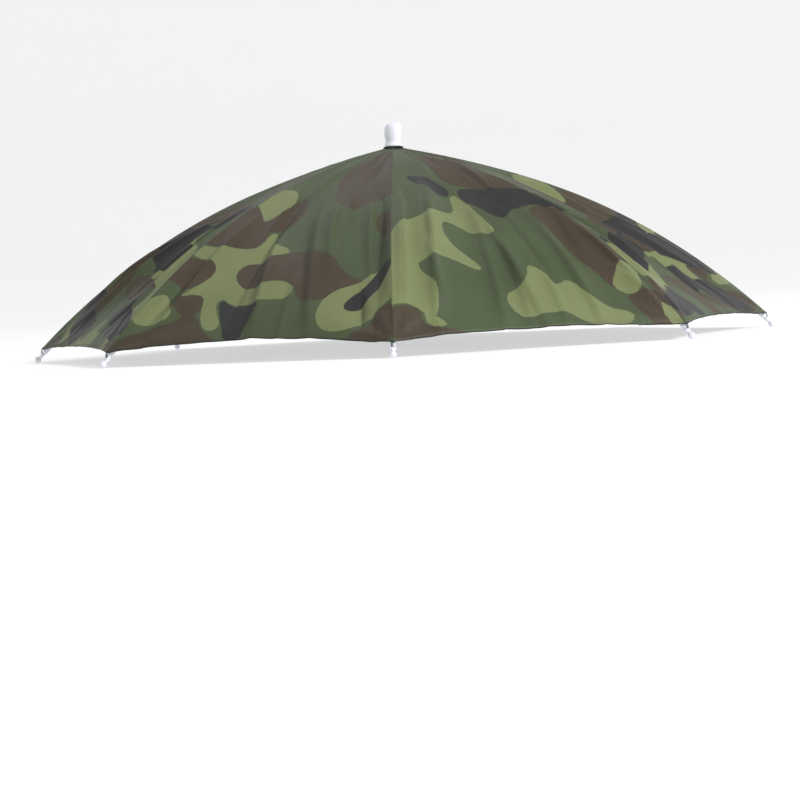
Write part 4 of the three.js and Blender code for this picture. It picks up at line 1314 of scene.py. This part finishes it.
knob = Shape().add(*tube(turned(knob_profile(), 56, leaning))).closed("top_knob")
milky = finish_named("milky plastic", {
    "Base Color": linear("e6e8ef"), "Roughness": 0.28, "Subsurface Weight": 0.6,
    "Subsurface Radius": (0.006, 0.006, 0.008), "Coat Weight": 0.2})
settle(smooth(knob, 40), "white_plastic", "knob", material=milky)

# %% [markdown]
# The headband is wide black elastic. Rubber threads run round inside it and draw the knit into fine
# upright ribs, and its two edges are drawn in a little tighter. It is a grid round an ellipse whose
# distance from the middle swings in and out once for each rib of the knit.

# %% Headband
HEAD_SIDE, HEAD_FRONT, BAND_WALL = 0.075, 0.095, 0.002
BAND_RIBS, PER_RIB, BAND_EDGE, BAND_SKIN = 270, 4, 0.0005, 0.0003
band_low, band_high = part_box("headband")


def band_ring(t, wall, swing):
    """A ring at a share of the band's height, a wall away from the head, with ribs of that swing."""
    bottom, top = band_low.z + BAND_EDGE, band_high.z - BAND_EDGE
    angles = round_angles(BAND_RIBS * PER_RIB)
    rib = np.cos(angles * BAND_RIBS) * swing
    x, y = HEAD_SIDE * np.cos(angles), HEAD_FRONT * np.sin(angles)
    normal = np.stack([x / HEAD_SIDE ** 2, y / HEAD_FRONT ** 2], 1)
    normal /= np.linalg.norm(normal, axis=1)[:, None]
    flat = np.stack([x, y], 1) + normal * (wall + rib)[:, None]
    height = bottom + (top - bottom) * t + 0.0002 * np.sin(angles * 31) + 0.00015 * np.sin(angles * 47 + 1)
    return np.column_stack([flat, height])


def band_rings():
    """The outer face from its lower edge up, and the inner face down again."""
    steps, rings = np.linspace(0, 1, 9), []
    for t in steps:
        groove = 0.00012 * math.cos(t * 2 * math.pi * 8)
        rings.append(band_ring(t, BAND_WALL - BAND_SKIN + groove, 0.00022 if 0 < t < 1 else 0.0001))
    for t in steps[::-1]:
        rings.append(band_ring(t, BAND_SKIN, -0.00018 if 0 < t < 1 else 0.0))
    return rings


band = Shape().add(*torus(band_rings())).closed("elastic_headband")
elastic = finish_named("black elastic", {"Base Color": linear("17181a"), "Roughness": 0.85,
                                         "Sheen Weight": 0.25}, grain(1400.0))
settle(smooth(band, 60), "black_elastic", "headband", material=elastic)

# %% [markdown]
# A strap of webbing is sewn to the outside of the band below each rib, rises to it and is tacked
# along its underside. Its path and its twist are given by a few stations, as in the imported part.
# A smooth curve through them is found first, and then a flat section with soft edges follows it.

# %% Straps
STRAP_WIDTH, STRAP_WALL = 0.018, 0.0014
STRAP_FOOT, STRAP_SEWN, STRAP_CLEAR = 0.008, 0.020, 0.002
SEAT_FROM_FORK, SEAT_LEAD, SEAT_LENGTH, TURN_BELOW = 0.004, 0.003, 0.012, 0.0016
TAPE_HALF = [(-1, -0.4), (-1, 0.4), (-0.97, 0.9), (-0.5, 1), (0, 1), (0.5, 1), (0.97, 0.9)]
TAPE_SECTION = TAPE_HALF + [(-side, -up) for side, up in TAPE_HALF]


def strap_stations(azimuth):
    """Places along the strap of a rib that points along X, with the tape's width and its outer face."""
    slantwise = math.hypot(math.cos(azimuth) / HEAD_SIDE, math.sin(azimuth) / HEAD_FRONT)
    on_band = Vector((math.cos(azimuth), math.sin(azimuth), 0)) / slantwise
    normal = Vector((on_band.x / HEAD_SIDE ** 2, on_band.y / HEAD_FRONT ** 2, 0)).normalized()
    back = Matrix.Rotation(-azimuth, 3, "Z")
    on_band, normal = back @ on_band, back @ normal
    up, rib_wise = Vector((0, 0, 1)), Vector((0, 1, 0))
    band_wise = up.cross(normal)
    base = on_band + normal * (BAND_WALL + CLEARANCE + STRAP_WALL / 2)

    def on_underside(share, extra=0.0):
        depth = UNDER_CLOTH + RIB_DEPTH + CLEARANCE + STRAP_WALL / 2 + extra
        radius, height, slope = seam_point(share, depth)
        return Vector((float(radius), 0, float(height))), -Vector((math.sin(slope), 0, math.cos(slope)))

    def at(z):
        return Vector((base.x, base.y, z))

    first_share = joint_share + (FORK_HALF + SEAT_FROM_FORK) / SEAM_LENGTH
    seat_share = first_share + SEAT_LEAD / SEAM_LENGTH
    first, first_out = on_underside(seat_share)
    last, last_out = on_underside(seat_share + SEAT_LENGTH / SEAM_LENGTH)
    turn_in, turn_out = on_underside(first_share, TURN_BELOW)
    edge = at(band_high.z + STRAP_CLEAR)
    slant = rib_wise.cross((turn_in - edge).normalized())
    heights = (band_low.z + STRAP_FOOT, band_low.z + STRAP_SEWN, band_high.z)
    stations = [(at(z), band_wise, normal) for z in heights]
    for t, twist, face in ((0.12, 0.2, slant.lerp(normal, 0.4)), (0.5, 0.6, slant), (0.9, 1.0, slant)):
        stations.append((edge.lerp(turn_in, t), band_wise.lerp(rib_wise, twist), face))
    return stations + [(turn_in, rib_wise, slant.lerp(turn_out, 0.5)), (first, rib_wise, first_out),
                       (last, rib_wise, last_out)]


def smooth_between(rows, i, t):
    """A point between rows i and i + 1. The curve also heeds the row on either side of them."""
    a, b, c, d = rows[i - 1:i + 3]
    if i in (1, 2):
        return b + (c - b) * t
    bend, twist = 2 * a - 5 * b + 4 * c - d, 3 * b - a - 3 * c + d
    return 0.5 * (2 * b + (c - a) * t + bend * t * t + twist * t ** 3)


def strap_rings(azimuth, steps=8):
    stations = [np.array([*c, *w.normalized(), *t.normalized()]) for c, w, t in strap_stations(azimuth)]
    rows = np.array([stations[0], *stations, stations[-1]])
    rings = []
    for i in range(1, len(rows) - 2):
        for step in range(steps + (i == len(rows) - 3)):
            now = smooth_between(rows, i, step / steps)
            wide, thick = now[3:6] / np.linalg.norm(now[3:6]), now[6:9] / np.linalg.norm(now[6:9])
            wide, thick = wide * STRAP_WIDTH / 2, thick * STRAP_WALL / 2
            rings.append([now[:3] + wide * s + thick * u for s, u in TAPE_SECTION])
    return rings


straps = Shape()
for number in range(1, PANEL_COUNT + 1):
    azimuth = rib_azimuth(number)
    straps.add(*tube(strap_rings(azimuth)), place=Matrix.Rotation(azimuth, 4, "Z"))
tape = finish_named("black webbing", {"Base Color": linear("1a1b1d"), "Roughness": 0.8,
                                      "Sheen Weight": 0.15}, grain(1100.0), 0.4)
settle(smooth(straps.closed("straps"), 50), "black_webbing", *each("band_strap"), material=tape)

# %% Sewing on the straps
BOX_FROM_SIDE, BOX_FROM_FOOT, BOX_FROM_TOP, THREAD_PROUD = 0.0022, 0.002, 0.003, 0.00005


def strap_paths():
    """A box of stitches with a cross in it on each strap's foot."""
    paths = []
    for number in range(1, PANEL_COUNT + 1):
        azimuth = rib_azimuth(number)
        (foot, wide, out), _, (top, _, _) = strap_stations(azimuth)[:3]
        turn = Matrix.Rotation(azimuth, 3, "Z")
        lift = out * (STRAP_WALL / 2 + THREAD_PROUD)
        low, high = foot.z + BOX_FROM_FOOT, top.z - BOX_FROM_TOP
        box = []
        for side, z in ((-1, low), (1, low), (1, high), (-1, high)):
            place = Vector((foot.x, foot.y, z)) + wide * side * (STRAP_WIDTH / 2 - BOX_FROM_SIDE) + lift
            box.append(tuple(turn @ place))
        paths += [[*box, box[0]], box[::2], box[1::2]]
    return paths


strap_stitches = sewn("strap_stitches", strap_paths(), black_thread,
                      stitch=0.0022, step=0.0028, thread=0.0003)
settle(strap_stitches, "black_webbing")

# %% [markdown]
# The canopy is one sheet of cloth that was cut flat and is now stretched over the ribs. Its flat
# area is that of eight triangles as long as a seam, and it is worked out and printed here.

# %% The cloth's flat size
def flat_area():
    """Area of the eight cut panels, each as wide as the gap between its ribs, less the hem's curve."""
    total, across = 0.0, np.linspace(-1, 1, 41)
    for panel in PANEL_NAMES:
        for c in across:
            along = np.linspace(0, hem_share(panel, c), 101)
            wide = float(np.mean(seam_point(along)[0])) * math.sin(HALF_PANEL)
            total += wide * along[-1] * SEAM_LENGTH * 2 / len(across)
    return total


cloth_area = round(flat_area(), 3)
print("flat area in m2:", cloth_area)

# %% [markdown]
# The studio is plain: a pale floor that curves up into a pale wall all round, and three soft lamps.
# The camera has the photograph's direction, lens and distance, raised just above the floor.

# %% Floor and light
BOWL = [(0.0001, 0.0), (1.0, 0.0), (3.2, 0.0), (4.2, 0.12), (5.0, 0.5), (5.6, 1.2), (5.9, 2.2), (6.0, 4.5)]
LAMPS = [("large lamp from the right", (3.5, -2.1, 3.3), 1.6, 245),
         ("small lamp from the left", (-2.6, -2.0, 1.2), 1.6, 3),
         ("high lamp behind", (-0.9, 2.0, 3.5), 2.4, 24)]
LAMPS_AIM = Vector((0, 0, 0.1))

floor = Shape().add(np.concatenate(turned(BOWL, 64)), grid_faces(len(BOWL), 64, True)).object("floor")
floor.data.shade_smooth()
floor_paint = finish_named("pale floor", {"Base Color": (0.45, 0.45, 0.45, 1), "Roughness": 0.95,
                                          "Emission Color": (1, 1, 1, 1), "Emission Strength": 0.53})
floor_paint.cycles.emission_sampling = "NONE"
floor.data.materials.append(floor_paint)
for name, place, size, power in LAMPS:
    data = bpy.data.lights.new(name, "AREA")
    data.shape, data.size, data.energy = "DISK", size, power
    made = linked(name, data)
    made.location = place
    made.rotation_euler = (LAMPS_AIM - Vector(place)).to_track_quat("-Z", "Y").to_euler()
world = bpy.data.worlds.new("pale surround")
bpy.context.scene.world = world
world.use_nodes = True
world.node_tree.nodes["Background"].inputs["Color"].default_value = (0.93, 0.94, 0.95, 1)
world.node_tree.nodes["Background"].inputs["Strength"].default_value = 0.16
bpy.context.scene.view_settings.view_transform = "Standard"

# %% Camera
LENS_MM, SENSOR_MM, FAR, AZIMUTH, ROLL = 98.2, 36.0, 2.074, math.radians(1.4), math.radians(-2.9)
CAMERA_HEIGHT, PICTURE, RIM_AT = 0.06, 800, (402.5, 330.9)
camera = linked("camera", bpy.data.cameras.new("camera"))
bpy.context.scene.camera = camera
camera.data.lens, camera.data.sensor_width = LENS_MM, SENSOR_MM
flat_away = math.sqrt(FAR ** 2 - (CAMERA_HEIGHT - CORNER_HEIGHT) ** 2)
eye = Vector((flat_away * math.sin(AZIMUTH), -flat_away * math.cos(AZIMUTH), CAMERA_HEIGHT))
to_rim = (Vector((0, 0, CORNER_HEIGHT)) - eye).to_track_quat("-Z", "Y").to_matrix()
to_rim = to_rim @ Matrix.Rotation(ROLL, 3, "Z")
focal = LENS_MM / SENSOR_MM * PICTURE
right = math.atan((RIM_AT[0] - PICTURE / 2) / focal)
up = math.atan((PICTURE / 2 - RIM_AT[1]) / focal)
turn = to_rim @ Matrix.Rotation(-up, 3, "X") @ Matrix.Rotation(right, 3, "Y")
camera.location = eye
camera.rotation_euler = turn.to_euler()
